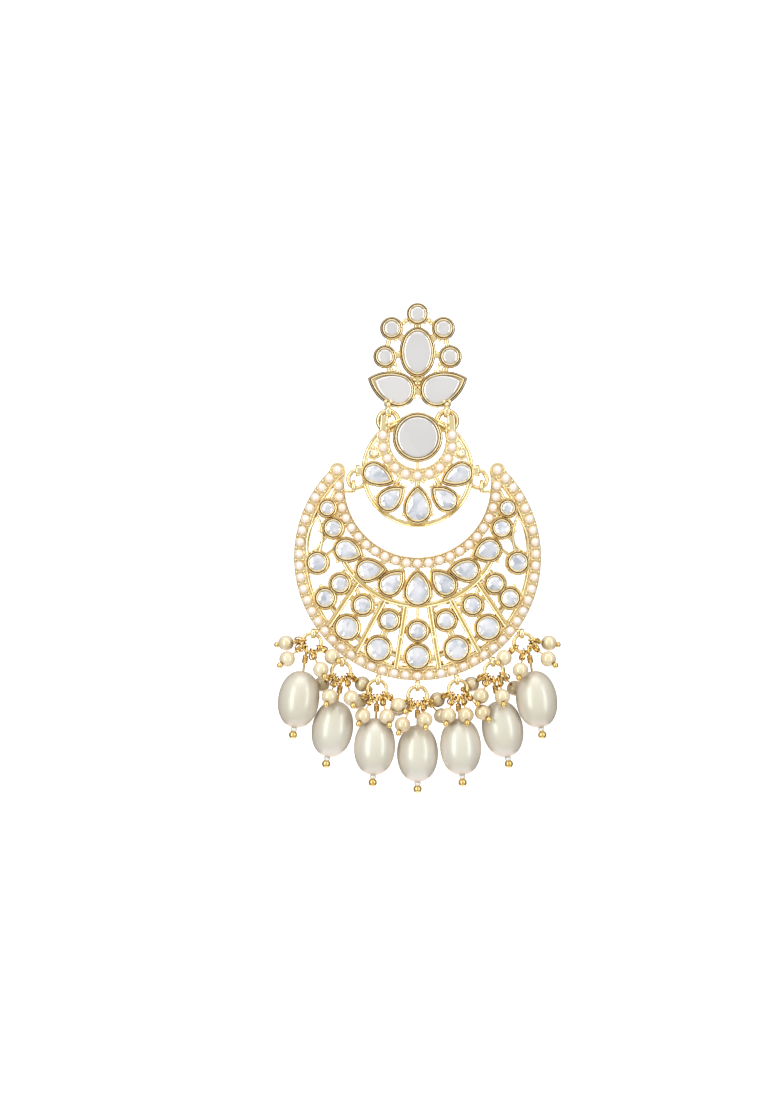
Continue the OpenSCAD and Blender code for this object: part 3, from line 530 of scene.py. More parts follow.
# Places in the medallion. A row of half pearls is its centre, the end angle and the count
rim_r = medallion_d / 2
rim_mean = rim_r - rim_w / 2
rim_over_ring, big_round_over, pearl_row_drop = 0.7, 0.37, 0.6
rings_z = swing_z - 2 * upper_mean
medallion_c = (0, rings_z + rim_over_ring - sqrt(rim_mean ** 2 - peg_x ** 2))
big_r = big_round_d / 2
big_c = (0, medallion_c[1] + rim_r + big_round_over - big_r)
row_c = (0, big_c[1] - pearl_row_drop)
MEDALLION_ROW, row_band_end = (row_c, 99, 11), 104
# Leaves: angle and reach of the body, angle and reach of the tip, radius, in shares of the rim
MEDALLION_LEAVES = [(-87.5, 0.785, -65, 0.46, 0.205), (-45, 0.738, -42, 0.375, 0.205),
                    (0, 0.682, 0, 0.255, 0.25), (45, 0.738, 42, 0.375, 0.205),
                    (87.5, 0.785, 65, 0.46, 0.205)]
post_h, post_w, post_lean = 4.6, 1.5, 0.35  # from the ends of the pearl row up to the rim
snail_c, snail_r = polar(medallion_c, rim_r * 0.845, 112.5), 0.98  # the scrolls inside the rim
loop_t, side_eyelet_t, tab_t = 1.2, 0.8, 0.7
side_ring_out, side_ring_lift, side_eyelet_in = 0.84, 0.12, 0.15
side_ring_top = medallion_c[1] + side_ring_lift

# Places in the crescent, whose tabs hang from the side rings
tab_in, mouth_lift = 0.26, 0.43
tab_low = sqrt((side_mean + side_wire / 2) ** 2 - tab_in ** 2)
tab_high = sqrt((side_mean - side_wire / 2) ** 2 - (tab_in + tab_t) ** 2)
tab_hole_r = (tab_low - tab_high) / 2 + eyelet_gap
tab_c = (rim_r + side_ring_out + tab_in + tab_t / 2, side_ring_top - side_mean - (tab_low + tab_high) / 2)
mouth_c, mouth_r = (0, tab_c[1] + mouth_lift), mouth_d / 2
crescent_c, crescent_r = (0, mouth_c[1] - mouth_rise), crescent_d / 2
mouth_out, outer_in = mouth_r + mouth_band_w, crescent_r - outer_band_w
mouth_mean, outer_mean = mouth_r + mouth_band_w / 2, crescent_r - outer_band_w / 2
outer_pearl_in, mouth_pearl_in = 0.95, 1.1
OUTER_ROW, outer_band_end = (crescent_c, 137.5, 49), 137.6
MOUTH_ROW, mouth_band_end = (mouth_c, 89, 23), 100
horn_rise, horn_r = 2.5, 1.45
horn_out = sqrt(crescent_r ** 2 - (mouth_rise + horn_rise) ** 2)
horn_in = sqrt(mouth_r ** 2 - horn_rise ** 2)
horn_c = ((horn_out + horn_in) / 2, mouth_c[1] + horn_rise)
garland_drop, garland_end = 7, 62
garland_c, garland_r = (0, mouth_c[1] - garland_drop), mouth_r + 1.8
joint_in, joint_w = 0.4, 0.9
drop_pitch, drop_reach, drop_eyelet_t, drop_eyelet_wall = 17.9, 1.05, 0.8, 0.33
drop_hole_r = hole_r(drop_mean, drop_wire, drop_eyelet_t) + 0.14
drops = range(1, 8)


def web(a, s):
    """A point between the two bands: at angle a, a share s of the way out."""
    return lerp(polar(mouth_c, mouth_out, a), polar(crescent_c, outer_in, a), s)


# Leaves: angle and share of the body, angle and share of the tip, radius
CRESCENT_LEAVES = [(0, .246, 0, .02, 2.55), (18.2, .215, 9.4, .04, 2.15),
                   (34.7, .18, 21.3, .075, 2.15), (54.2, .185, 40, .08, 2.2)]
# Round settings: angle, share, radius
CRESCENT_ROUNDS = [(0, .63, 2.0), (0, .89, 2.45), (16.6, .565, 2.0), (21.4, .885, 2.45),
                   (34, .54, 2.0), (41.3, .865, 2.45), (52, .535, 1.95), (60.4, .84, 2.0),
                   (76, .73, 2.1), (70.9, .2, 1.95), (86, .24, 1.7)]
rounds = [web(a, share) for a, share, _ in CRESCENT_ROUNDS]
# Partition wires: angle and share of each end
PARTITIONS = [(7, .38, 11.3, 1.03), (20.6, .37, 33.5, 1.03), (39.8, .36, 53.2, 1.03)]
THIN_WIRES = [(50.5, .36, 66, 1.03), (64, .33, 76, .73)]
scroll_c, scroll_tip, scroll_r = web(84, .79), web(100.5, .66), 1.03


def on_partition(wire, t):
    """A point on a partition wire, a share t of the way along."""
    a, share, b, end_share = PARTITIONS[wire]
    return lerp(web(a, share), web(b, end_share), t)


# Stones
def cut(name, outline, y0, body, table=0.55, into=None):
    """A cut stone: a girdle, triangle and kite facets, and a table."""
    p = into or Piece(name + "_stone", body, ICE, "cut_stone", (name,))
    girdle_h, mid_h = stone_h * 0.74, stone_h * 0.91
    n = len(outline) // 2 * 2
    c = middle(outline)

    def corner(q, height):
        return p.bm.verts.new(Vector((q[0], y0 - seat_gap - height, q[1])) * MM)

    low = [corner(q, 0) for q in outline[:n]]
    rim = [corner(q, girdle_h) for q in outline[:n]]
    mid, top = [], []
    for k in range(0, n, 2):
        edge = lerp(outline[k], outline[(k + 1) % n], 0.5)
        mid.append(corner(lerp(c, edge, (1 + table) / 2 + 0.02), mid_h))
    for k in range(0, n, 2):
        top.append(corner(lerp(c, outline[k], table), stone_h))
    face = p.bm.faces.new
    face(low[::-1])
    for k in range(n):
        face((low[k], low[(k + 1) % n], rim[(k + 1) % n], rim[k]))
    m = n // 2
    for k in range(m):
        a, b, a2 = rim[2 * k], rim[(2 * k + 1) % n], rim[(2 * k + 2) % n]
        face((a, b, mid[k]))
        face((b, a2, mid[k]))
        face((a2, top[(k + 1) % m], mid[k]))
        face((a, mid[k], top[k]))
        face((mid[k], top[(k + 1) % m], top[k]))
    face(top)
    if not into:
        p.done(smooth=0)


def smooth_stone(name, outline, y0, body, edge=0.86):
    """A flat polished stone with a bevelled and softly crowned edge."""
    p = Piece(name + "_stone", body, MIRROR, "mirror_stone", (name,))
    steps = [(1, 0), (1, .62), (.985, .72), (1 + (edge - 1) * .35, .82), (1 + (edge - 1) * .7, .91),
             (edge, .96), (edge - .05, .985), (edge * .75, 1), (edge * .4, 1.01), (.02, 1.015)]
    p.dome(outline, y0 - seat_gap, [(share, h * stone_h) for share, h in steps])
    p.done(smooth=32)


# Stud
def stud_round(i):
    a, neck = STUD_ROUNDS[i]
    a = radians(a)
    edge = 1 / hypot(cos(a) / oval_r[0], sin(a) / oval_r[1])
    reach = edge + neck + stud_round_r
    return (reach * cos(a), reach * sin(a))


neck_w = 1.3
# Balls on each peg, from its hole: x, z, radius
PEG_BALLS = [(0, 1.15, .5), (-.5, 1.75, .36), (.5, 1.75, .36), (0, 0.35, .42)]
# Grains in the gaps: x, z, radius
STUD_GRAINS = [(2.05, 5.75, .42), (2.5, 5.2, .34), (4.15, 2.75, .42), (4.0, 1.95, .32),
               (1.6, 5.0, .3), (3.75, -2.6, .4), (3.2, -3.3, .34), (.55, -5.05, .36),
               (.3, -5.75, .33), (.62, -8.35, .34), (.35, -6.5, .3)]
stud_curl_c, stud_curl_r = (4.35, -2.95), 0.55


def stud_necks(p):
    def neck(a, b, share, sunk):
        p.bar(a, b, neck_w * share, stud_y, -stud_t + sunk, -sunk)

    for i in range(5):
        neck((0, 0), stud_round(i), 1, .02)
    for i in (1, 2):
        neck(stud_round(0), stud_round(i), .7, .04)
        neck(stud_round(i), stud_round(i + 2), .7, .04)
    neck((0, 0), (0, stud_leaf[1] + .4), 2, .02)
    for s in (1, -1):
        neck(on_side(stud_round(4), s), on_side(stud_leaf, s), .8, .04)
        neck(on_side(stud_leaf, s), (0, stud_leaf[1]), 1.5, .02)
        peg(p, s * peg_x)


def peg(p, x):
    """A peg below the stud, with the eyelet for an upper ring."""
    p.washer((x, swing_z), peg_hole_r, peg_eyelet_t)
    p.bar((x, swing_z + peg_l), (x, swing_z + 1.0), peg_t, stud_y, -.9, .12)
    for dx, dz, r in PEG_BALLS:
        p.ball((x + dx, hang_y - 1.05 + abs(dx) * .3, swing_z + dz), r)


def stud_casting():
    p = Piece("stud_casting", "stud", GOLD, "cast_gold", ("stud_frame",))
    shapes = [oval(*oval_r, 56)]
    shapes += [circle(stud_round(i), stud_round_r, 40) for i in range(5)]
    shapes += [leaf(on_side(stud_leaf, s), on_side(stud_tip, s), stud_leaf_r, stud_leaf_l, 10, 26)
               for s in (1, -1)]
    for k, path in enumerate(shapes):
        # The top setting has no foot, because it ends the earring
        p.sweep(path, bezel(stud_t, 0 if k == 1 else stud_foot), stud_y)
        p.cup(path, stud_y, stud_t)
    stud_necks(p)
    p.grains([(s * x, z, r) for x, z, r in STUD_GRAINS for s in (1, -1)], stud_y - .12)
    for s in (1, -1):
        p.curl(stud_curl_c, s, stud_y - grain_out, stud_curl_r, curl_wire, 20, 24, 12)
    p.done()


def stud_stones():
    smooth_stone("oval_stone", oval(oval_r[0] - stone_in, oval_r[1] - stone_in, 64), stud_y, "stud")
    for i in range(5):
        outline = circle(stud_round(i), stud_round_r - stone_in, 48)
        smooth_stone(f"stud_round_{i + 1}", outline, stud_y, "stud", edge=.74)
    for s, word in ((-1, "left"), (1, "right")):
        outline = leaf(on_side(stud_leaf, s), on_side(stud_tip, s), stud_leaf_r - stone_in,
                       stud_leaf_l - leaf_stone_in, 12, 30)
        smooth_stone("stud_pear_" + word, outline, stud_y, "stud", edge=.87)


# Medallion

# Grains in the gaps: x, z, radius
MEDALLION_GRAINS = [(8.15, -17.7, .38), (7.4, -24.6, .34), (3.1, -24.2, .36), (2.1, -24.7, .3),
                    (2.6, -29.9, .36), (7.75, -26.5, .34), (5.75, -13.1, .36), (5.25, -13.6, .3),
                    (1.0, -23.9, .34), (6.9, -18.9, .3)]


def medallion_leaf(i):
    """Body centre, tip, radius and length of a leaf."""
    a, share, tip_a, tip_share, r = MEDALLION_LEAVES[i]
    body, tip = polar(medallion_c, rim_r * share, a), polar(medallion_c, rim_r * tip_share, tip_a)
    return body, tip, rim_r * r, dist(body, tip)


def medallion_bar(p, a, b, w, sunk=.03):
    p.bar(a, b, w, medallion_y, -plate_t + sunk, -sunk)


def medallion_sides(p, s):
    """The loop behind the rim, the side eyelet and the scroll, on side s."""
    p.washer((s * peg_x, rings_z), hole_r(upper_mean, upper_wire, loop_t), rim_loop_t)
    eyelet_c = (s * (rim_r + side_ring_out - side_eyelet_in), side_ring_top)
    p.washer(eyelet_c, hole_r(side_mean, side_wire, side_eyelet_t + .3), side_eyelet_t)
    p.bar((s * (rim_r - .4), eyelet_c[1]), (s * (rim_r + .8), eyelet_c[1]), 1.7, medallion_y, -.85, .08)
    p.curl(snail_c, s, medallion_y + .1, 1.0, .24, 0, 32, 15, shrink=.055, rise=.02)
    p.sweep(circle(on_side(snail_c, s), snail_r, 32), rounded(.55, -plate_t, -.02), medallion_y)


def medallion_casting():
    p = Piece("medallion_casting", "medallion", GOLD, "cast_gold", ("medallion_frame",))
    p.sweep(circle(medallion_c, rim_mean, 120), double_wire(rim_w, -plate_t + .04, .02, .2), medallion_y)
    band = arc(row_c, pearl_row_r - .12, -row_band_end, row_band_end, 72)
    p.sweep(band, MEDALLION_BAND, medallion_y, closed=False)
    p.sweep(circle(big_c, big_r, 72), bezel(plate_t, big_foot), medallion_y)
    p.cup(circle(big_c, big_r, 48), medallion_y, plate_t)
    for s in (-1, 1):
        foot, head = (s * pearl_row_r, row_c[1]), (s * (pearl_row_r - post_lean), row_c[1] + post_h)
        medallion_bar(p, foot, head, post_w)
    medallion_bar(p, (0, row_c[1] - pearl_row_r), big_c, .6, .02)
    for i in range(5):
        body, tip, r, l = medallion_leaf(i)
        path = leaf(body, tip, r, l, 10, 24)
        p.sweep(path, bezel(plate_t, medallion_foot), medallion_y)
        p.cup(path, medallion_y, plate_t)
        medallion_bar(p, body, lerp(body, row_c, .5 if i == 2 else .42), joint_w)
    for s in (1, -1):
        medallion_sides(p, s)
    p.grains([(s * x, z, r) for x, z, r in MEDALLION_GRAINS for s in (1, -1)], medallion_y - grain_out)
    p.cups(MEDALLION_ROW, pearl_row_r, medallion_y - cup_sink)
    edges = [(pearl_row_r + .72, .24), (pearl_row_r - .78, .24)]
    p.pearl_grains(MEDALLION_ROW, medallion_y - grain_out, edges, 12, 8)
    p.done()


def medallion_pears():
    for i in range(5):
        body, tip, r, l = medallion_leaf(i)
        outline = thin_leaf(body, tip, r - stone_in, l - leaf_stone_in, 14)
        cut(f"medallion_pear_{i + 1}", outline, medallion_y, "medallion")


def centre_stone():
    outline = circle(big_c, big_r - stone_in - .1, 72)
    smooth_stone("medallion_centre_stone", outline, medallion_y, "medallion", edge=.9)


# Crescent

# Bars between round settings
JOINED = [(0, 1), (2, 3), (4, 5), (6, 7), (9, 10)]
joined_w, wide_round_r = 1.3, 2.2
# Bars from a round setting to a point of the web: setting, angle, share
SIDE_JOINTS = [(2, 7.8, .54), (2, 24, .56), (4, 26, .53), (4, 43.5, .56), (6, 44.5, .52)]
# Bars from a round setting to a partition wire: setting, wire, share of the wire's length
OUTER_JOINTS = [(3, 0, .8), (3, 1, .76), (5, 1, .8), (5, 2, .73), (7, 2, .72), (1, 0, .84)]
INNER_JOINTS = [(2, 0, .1), (2, 1, .1), (4, 1, .08), (4, 2, .08), (6, 2, .06)]
# Grains in the gaps: x, z, radius
CRESCENT_GRAINS = [(1.55, -45.2, .36), (2.6, -44.9, .34), (3.3, -47.6, .34), (4.4, -44.0, .36),
                   (7.9, -43.6, .4), (8.6, -44.4, .32), (5.9, -51.0, .34), (9.3, -48.2, .34),
                   (11.6, -41.0, .38), (12.2, -41.9, .3), (3.0, -52.4, .36), (2.7, -57.0, .32),
                   (9.6, -53.9, .34), (13.9, -46.0, .36), (14.8, -38.6, .38), (15.6, -44.9, .34),
                   (13.3, -35.9, .34), (17.5, -32.0, .34), (18.6, -33.0, .3), (17.9, -42.6, .32),
                   (5.3, -40.1, .3), (9.7, -37.4, .3), (17.1, -25.6, .3), (16.8, -24.9, .26),
                   (13.6, -50.8, .3)]
# Curls in the gaps: x, z, radius, angle of the start
CURLS = [(3.3, -46.5, .55, 100), (8.3, -45.4, .5, 70), (12.0, -42.4, .5, 40), (17.0, -33.9, .5, 10)]
# Dark amber grains: angle and share of the web, and how far out to the side
DARK_GRAIN_SPOTS = [(7, .42, .62), (20.6, .41, .6), (20.6, .41, -.6), (39.8, .4, .6), (39.8, .4, -.6),
          (50.5, .4, .5), (64, .36, -.5)]


def crescent_leaf(k, s):
    """Body centre, tip, radius and length of a leaf on side s."""
    a, share, tip_a, tip_share, r = CRESCENT_LEAVES[k]
    body, tip = on_side(web(a, share), s), on_side(web(tip_a, tip_share), s)
    return body, tip, r, dist(body, tip)


def crescent_leaves(s):
    """The leaves of side s, the middle one with the right side."""
    return [k for k in range(4) if k or s > 0]


def joint(p, s, a, b, w):
    """A low bar between two points, on side s."""
    p.bar(on_side(a, s), on_side(b, s), w, crescent_y, -plate_t + .04, -.04)


def mouth_joint(a):
    return polar(mouth_c, mouth_out - joint_in, a)


def crescent_bands(p):
    outer = arc(crescent_c, outer_mean, -outer_band_end, outer_band_end, 150)
    mouth = arc(mouth_c, mouth_mean, -mouth_band_end, mouth_band_end, 96)
    garland = arc(garland_c, garland_r, -garland_end, garland_end, 80)
    p.sweep(outer, OUTER_BAND, crescent_y, closed=False)
    p.sweep(mouth, MOUTH_BAND, crescent_y + .01, closed=False)
    p.sweep(garland, double_wire(wire_w, -plate_t + .02, wire_h, wire_groove), crescent_y, closed=False)


def horn(p, s):
    """The round end of the crescent on side s, with a raised edge."""
    c = on_side(horn_c, s)
    p.tube([[(x, crescent_y - d, z) for x, z in circle(c, horn_r, 36)] for d in (-plate_t + .05, .02)])
    p.sweep(circle(c, horn_r - .05, 36), rounded(.2, -.5, .1), crescent_y)


def partition_wires(p, s):
    thick = double_wire(wire_w, -plate_t + .03, wire_h, wire_groove)
    thin = double_wire(thin_wire_w, -plate_t + .04, wire_h - .03, thin_wire_groove)
    for profile, table in ((thick, PARTITIONS), (thin, THIN_WIRES)):
        for a, share, b, end_share in table:
            ends = [on_side(web(a, share), s), on_side(web(b, end_share), s)]
            p.sweep(ends, profile, crescent_y, closed=False)


def joints(p, s):
    for k in (1, 2, 3):
        a, share, tip_a, _, _ = CRESCENT_LEAVES[k]
        joint(p, s, web(a, share), mouth_joint(tip_a), joint_w)
    for a, b in JOINED:
        if s > 0 or a:
            joint(p, s, rounds[a], rounds[b], joined_w)
    for k, a, share in SIDE_JOINTS:
        joint(p, s, rounds[k], web(a, share), 1.1)
    for k, wire, t in OUTER_JOINTS:
        joint(p, s, rounds[k], on_partition(wire, t), 1.0)
    for k, wire, t in INNER_JOINTS:
        joint(p, s, rounds[k], on_partition(wire, t), .8)
    joint(p, s, rounds[9], web(*CRESCENT_LEAVES[3][:2]), joined_w)
    joint(p, s, rounds[9], mouth_joint(72), joint_w)
    joint(p, s, rounds[10], mouth_joint(86), joint_w)
    joint(p, s, rounds[10], polar(crescent_c, outer_in + joint_in, 119), joint_w)


def side_scroll(p, s):
    joint(p, s, scroll_c, rounds[9], .6)
    l = dist(scroll_c, scroll_tip)
    path = leaf(on_side(scroll_c, s), on_side(scroll_tip, s), scroll_r, l - .45, 10, 20)
    p.sweep(path, double_wire(.55, -plate_t + .04, .5, .1), crescent_y)
    p.curl((scroll_c[0] - .1, scroll_c[1]), s, crescent_y - .25, .8, .2, -60, -33, 14, shrink=.045)


def crescent_settings(p, s):
    for k in crescent_leaves(s):
        body, tip, r, l = crescent_leaf(k, s)
        path = leaf(body, tip, r, l, 10, 24)
        p.sweep(path, bezel(plate_t, leaf_foot), crescent_y)
        p.cup(path, crescent_y, plate_t)
    for k, (_, _, r) in enumerate(CRESCENT_ROUNDS):
        if k > 1 or s > 0:
            c, foot = on_side(rounds[k], s), round_foot if r < wide_round_r else wide_round_foot
            p.sweep(circle(c, r, 40), bezel(plate_t, foot), crescent_y)
            p.cup(circle(c, r, 32), crescent_y, plate_t)


def tab(p, s):
    """The tab at the horn, which the side ring carries."""
    p.washer(on_side(tab_c, s), tab_hole_r, tab_t)
    z = tab_c[1] - (tab_hole_r + .95) / 2
    p.bar((s * (tab_c[0] + .1), z), (s * (mouth_r + .4), z), .66, crescent_y, -.85, -.02)


def filling(p, s):
    """Grains and curls in the gaps."""
    p.grains([(s * x, z, r) for x, z, r in CRESCENT_GRAINS], crescent_y - grain_out)
    for x, z, r, start in CURLS:
        p.curl((x, z), s, crescent_y - .02, r, curl_wire, start, 32, 13, shrink=.05 * r)


def drop_eyelets(p):
    for i in drops:
        a = (i - 4) * drop_pitch
        c, q = polar(crescent_c, crescent_r + drop_reach, a), polar(crescent_c, outer_mean, a)
        p.washer(c, drop_hole_r, drop_eyelet_t, drop_eyelet_wall)
        p.bar(q, lerp(c, q, .2), .72, crescent_y, -plate_t + .12, -.02)
        x, z = polar(crescent_c, crescent_r + .32, a)
        p.ball((x, crescent_y + .05, z), .46)


def crescent_casting():
    """The crescent's frame. Returns its surface, for the dark amber grains."""
    p = Piece("crescent_casting", "crescent", GOLD, "cast_gold", ("crescent_frame",))
    crescent_bands(p)
    for s in (1, -1):
        horn(p, s)
        partition_wires(p, s)
        joints(p, s)
        side_scroll(p, s)
        crescent_settings(p, s)
        tab(p, s)
        filling(p, s)
    joint(p, 1, web(*CRESCENT_LEAVES[0][:2]), mouth_joint(0), joint_w)
    joint(p, 1, rounds[0], (0, garland_c[1] - garland_r), .6)
    joint(p, 1, (-3, rounds[0][1]), (3, rounds[0][1]), 1.1)
    p.cups(OUTER_ROW, crescent_r - outer_pearl_in, crescent_y - cup_sink)
    p.cups(MOUTH_ROW, mouth_r + mouth_pearl_in, crescent_y - cup_sink)
    outer_edges = [(crescent_r - .3, .27), (crescent_r - 1.62, .27)]
    mouth_edges = [(mouth_r + .5, .22), (mouth_r + 1.74, .25)]
    p.pearl_grains(OUTER_ROW, crescent_y - .05, outer_edges, 10, 6)
    p.pearl_grains(MOUTH_ROW, crescent_y - .05, mouth_edges, 10, 6)
    drop_eyelets(p)
    surface = BVHTree.FromBMesh(p.bm)
    p.done()
    return surface


def dark_amber_grains(surface):
    """Dark amber grains in the corners beside the partition wires."""
    p = Piece("amber_grains", "crescent", AMBER, "cast_gold")
    for s in (1, -1):
        spots = []
        for a, share, out in DARK_GRAIN_SPOTS:
            x, z = web(a, share)
            spots.append((s * (x + out), z, .33))
        for k, wire, t in OUTER_JOINTS[:5]:
            x, z = lerp(on_partition(wire, t - .01), rounds[k], .2)
            spots.append((s * x, z + .45, .3))
        for wire in range(len(PARTITIONS)):
            x, z = on_partition(wire, .9)
            spots.append((s * (x + .6), z, .3))
        p.grains(spots, crescent_y - .12, surface)
    p.done()


def crescent_pears():
    for s in (1, -1):
        for k in crescent_leaves(s):
            body, tip, r, l = crescent_leaf(k, s)
            outline = thin_leaf(body, tip, r - stone_in, l - leaf_stone_in, 14)
            cut(f"crescent_pear_{4 + s * k}", outline, crescent_y, "crescent")


def crescent_round_stones():
    stones = Piece("crescent_round_stones_cut", "crescent", ICE, "cut_stone", ("crescent_round_stones",))
    for k, (_, _, r) in enumerate(CRESCENT_ROUNDS):
        for s in ((1,) if k < 2 else (1, -1)):
            c = on_side(rounds[k], s)
            # Each stone is turned a little differently in its setting
            outline = circle(c, r - stone_in, 16, start=0.4 * k + s)
            cut("", outline, crescent_y, "crescent", table=.5, into=stones)
    stones.done(smooth=0)


# Drops: the same pins as in the CAD, with coiled necks and spacer beads.
# By distance from the middle: the ring's lean, the pin's angle on the ring, reach, tilt, backward step
DROPS = [(0, 0, 8.9, 0, .7), (.15, 0, 8.7, 3, -.7), (.15, 0, 9, 10.3, .7), (.3, 34, 9, 9, -.7)]
# Beads at each ring: angle on the ring, turn from there, lean to the back, reach
CLUSTERS = [
    [(-106, 26, 32, 3.7), (-75, 26, -34, 4.4), (0, 30, -46, 5), (62, -7, -45, 3.9)],
    [(-62, 10, 48, 3.9), (-31, 9, -42, 4.3), (35, -20, -46, 4.9), (66, -12, 34, 3.4)],
    [(-62, 12, 48, 3.5), (-31, 3, -40, 4.7), (31, -15, -40, 4.5), (62, -12, -32, 3.6)],
    [(-62, 10, 42, 3.6), (-31, 4, -38, 5.2), (33, -26, -50, 4.3), (64, -20, 20, 4.4)],
    [(-64, 2, 40, 3.3), (-33, 17, -42, 4.4), (33, -25, -47, 4.5), (64, -23, -34, 5.2)],
    [(-66, 10, 30, 3.5), (-37, 12, -40, 4.3), (35, -27, -48, 4.6), (68, -26, 42, 4.6)],
    [(-62, 12, -45, 3.9), (0, -12, -46, 4.6), (75, -26, -34, 4.4), (106, -26, 32, 3.7)]]
spacer_r, spacer_h, spacer_gap, spacer_bore = 0.62, 0.42, 0.3, 0.27
pearl_bore = 0.35
# Loops of loose wire on a cluster's pin: how far skewed, radius
LOOPS = [(.5, .8), (-.9, .95)]


def on_ring(i, a):
    """The point at angle a on drop ring i."""
    lean, s = DROPS[abs(i - 4)][0], (-1 if i < 4 else 1)
    e = polar(crescent_c, crescent_r + drop_reach, (i - 4) * drop_pitch)
    c = (e[0] + s * lean, e[1] - sqrt(drop_mean ** 2 - lean ** 2))
    x, z = polar(c, drop_mean, a)
    return Vector((x, hang_y, z))


def bead_steps(r, h, bore, power, n):
    """Steps along a bead of radius r and half length h, with a bore."""
    turns = [radians(-90 + 180 * k / n) for k in range(n + 1)]
    return [(h * sin(a), max(bore, r * cos(a) ** power)) for a in turns]


def pearl_drop(i, coils, spacers):
    _, ring_a, reach, tilt, back = DROPS[abs(i - 4)]
    s, tilt = (-1 if i < 4 else 1), radians(tilt)
    d = Vector((s * reach * sin(tilt), back, -reach * cos(tilt))).normalized()
    top = on_ring(i, s * ring_a)
    coils.coil(top + d * .9, d, 1.35, .45, 5)
    centre = top + d * reach
    pearl = Piece(f"oval_pearl_{i}", "crescent", OVAL_PEARL, "oval_pearl", (f"pearl_{i}",))
    steps = bead_steps(pearl_w / 2, -pearl_l / 2, pearl_bore, .86, 40)
    for k in (0, -1):
        steps[k] = (steps[k][0] * .985, steps[k][1])
    pearl.tube(turned(centre, d, steps, 48))
    pearl.done(smooth=60)
    spot = centre + d * (pearl_l / 2 + spacer_gap)
    spacers.tube(turned(spot, d, bead_steps(spacer_r, spacer_h, spacer_bore, .8, 12), 20))


def cluster_pin(i, row, coils):
    """The wound neck and the loose wire loops of one bead's pin."""
    ring_a, turn_a, lean, reach = row
    t, e = radians(ring_a + turn_a), radians(lean)
    d = Vector((cos(e) * sin(t), sin(e), -cos(e) * cos(t)))
    spot = on_ring(i, ring_a)
    coils.coil(spot + d * .74, d, .95, .38, 4)
    tangent = Vector((cos(radians(ring_a)), 0, sin(radians(ring_a))))
    side = d.cross(tangent).normalized()
    for skew, r in LOOPS:
        # Near and far beads have their loops skewed opposite ways
        out = (side + d.cross(side) * (skew if reach > 4.2 else -skew)).normalized()
        pts = [spot + d * (r * .7 + r * cos(x)) + out * r * sin(x) for x in turn(20)]
        coils.round_wire(pts, loop_wire, 7, closed=True)


def drop_pieces():
    coils = Piece("pin_coils", "crescent", PIN, "pin_wire")
    spacers = Piece("spacer_beads", "crescent", SPACER, "oval_pearl")
    for i in drops:
        pearl_drop(i, coils, spacers)
        for row in CLUSTERS[i - 1]:
            cluster_pin(i, row, coils)
    coils.done()
    spacers.done()


# Finishes of the CAD nodes that stay
def finish_nodes():
    finishes = {"ear_post": WIRE, "medallion_pearls": HALF_PEARL, "crescent_outer_pearls": HALF_PEARL,
                "crescent_mouth_pearls": HALF_PEARL, "cluster_beads": BEAD, "drop_pins": PIN,
                "cluster_pins": PIN}
    for name, o in NODES.items():
        mat = WIRE if "ring_" in name else finishes.get(name)
        if mat:
            o.data.materials.clear()
            o.data.materials.append(mat)


# Studio, in metres
wall_y, floor_z, curve_r = 1.35, -.62, .22
floor_front, wall_top, half_width = -.2, .42, .42
earring_middle = (0, 0, -.037)


def backdrop():
    """Pale floor and white back wall, joined by a curve."""
    white, N, L, b = new_mat("backdrop")
    fleck = node(N, "ShaderNodeTexNoise", Scale=30.0, Detail=2.0)
    tone = ramp(N, [(0.3, (0.93, 0.93, 0.93)), (0.7, (0.96, 0.96, 0.96))])
    L.new(fleck.outputs["Fac"], tone.inputs["Fac"])
    L.new(tone.outputs["Color"], b.inputs["Base Color"])
    b.inputs["Roughness"].default_value = 0.9
    b.inputs["Emission Color"].default_value = (1, 1, 1, 1)
    b.inputs["Emission Strength"].default_value = 0.55
    line = [(floor_front, floor_z), (wall_y - curve_r, floor_z)]
    line += [(wall_y - curve_r * (1 - sin(a)), floor_z + curve_r * (1 - cos(a)))
             for a in (radians(10 * k) for k in range(1, 10))]
    line += [(wall_y, wall_top)]
    bm = bmesh.new()
    edges = [[bm.verts.new((x, y, z)) for y, z in line] for x in (-half_width, half_width)]
    for k in range(len(line) - 1):
        face = bm.faces.new((edges[0][k], edges[0][k + 1], edges[1][k + 1], edges[1][k]))
        face.smooth = True
    mesh = bpy.data.meshes.new("sweep")
    bm.to_mesh(mesh)
    bm.free()
    mesh.materials.append(white)
    sweep = bpy.data.objects.new("sweep", mesh)
    scene.collection.objects.link(sweep)


def area(name, at, size, watts, aim=earring_middle):
    data = bpy.data.lights.new(name, "AREA")
    data.shape = "RECTANGLE"
    data.size, data.size_y = size
    data.energy = watts
    o = bpy.data.objects.new(name, data)
    o.location = at
    o.rotation_euler = (Vector(aim) - Vector(at)).to_track_quat("-Z", "Y").to_euler()
    scene.collection.objects.link(o)


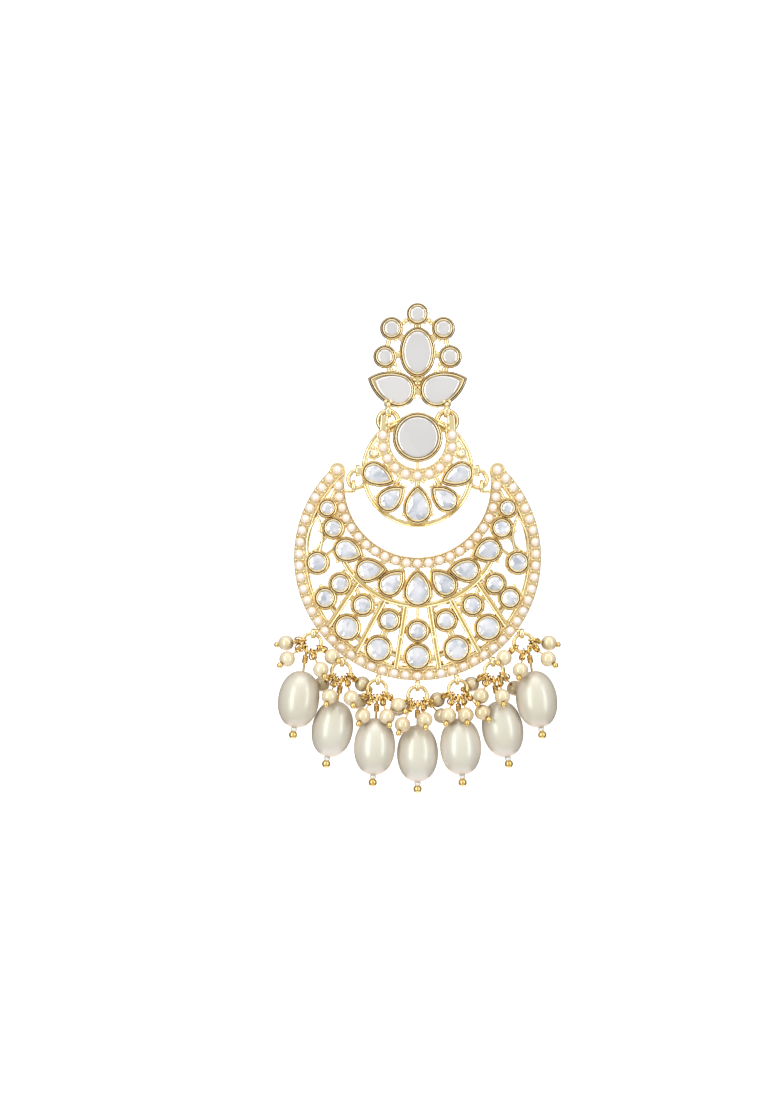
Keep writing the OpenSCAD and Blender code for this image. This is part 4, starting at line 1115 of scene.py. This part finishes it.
def surroundings():
    """Bright in front, darker beside and behind, so that round wires keep dark edges."""
    world = bpy.data.worlds.new("studio")
    scene.world = world
    world.use_nodes = True
    W, WL = world.node_tree.nodes, world.node_tree.links
    place = W.new("ShaderNodeTexCoord")
    way = W.new("ShaderNodeSeparateXYZ")
    WL.new(place.outputs["Generated"], way.inputs[0])

    def shade(axis, stops):
        part = node(W, "ShaderNodeMapRange", **{"From Min": -1.0, "From Max": 1.0})
        WL.new(way.outputs[axis], part.inputs["Value"])
        grey = ramp(W, [((at + 1) / 2, (v, v, v)) for at, v in stops])
        WL.new(part.outputs["Result"], grey.inputs["Fac"])
        return grey.outputs["Color"]

    sky = node(W, "ShaderNodeMix", data_type="RGBA", blend_type="ADD")
    sky.inputs["Factor"].default_value = 1.0
    depth = [(-1, .78), (-.7, .68), (-.3, .50), (.1, .30), (.5, .14), (1, .10)]
    height = [(-1, .06), (-.3, .03), (.3, .08), (1, .62)]
    WL.new(shade("Y", depth), sky.inputs["A"])
    WL.new(shade("Z", height), sky.inputs["B"])
    WL.new(sky.outputs["Result"], W["Background"].inputs["Color"])
    W["Background"].inputs["Strength"].default_value = 1.0


# Camera: straight on. Where the photograph's frame shows the post's root, in its pixels
photo_w, photo_h, pixels_per_mm = 780, 1108, 5.43
root_px = (417.5, 352.5)


def camera():
    cam = bpy.data.cameras.new("camera")
    cam.lens, cam.sensor_width = 110, 36
    obj = bpy.data.objects.new("camera", cam)
    tall = photo_h / pixels_per_mm * MM
    obj.location = ((photo_w / 2 - root_px[0]) / pixels_per_mm * MM, -tall * cam.lens / cam.sensor_width,
                    (root_px[1] - photo_h / 2) / pixels_per_mm * MM)
    obj.rotation_euler = (pi / 2, 0, 0)
    cam.clip_start, cam.clip_end = 0.01, 10
    scene.collection.objects.link(obj)
    scene.camera = obj


# The earring's pieces, and the studio round them
stud_casting()
stud_stones()
medallion_pears()
medallion_casting()
centre_stone()
crescent_pears()
dark_amber_grains(crescent_casting())
crescent_round_stones()
drop_pieces()
finish_nodes()
backdrop()
area("left_strip", (-.31, -.38, .02), (.17, .55), 0.95)
area("right_strip", (.36, -.32, .02), (.10, .55), 0.6)
area("top_soft", (0, -.22, .45), (.5, .3), 0.55)
area("wall_wash", (0, .7, .5), (.8, .3), 0.5, aim=(0, 1.35, -.05))
surroundings()
scene.view_settings.view_transform = "Standard"
camera()
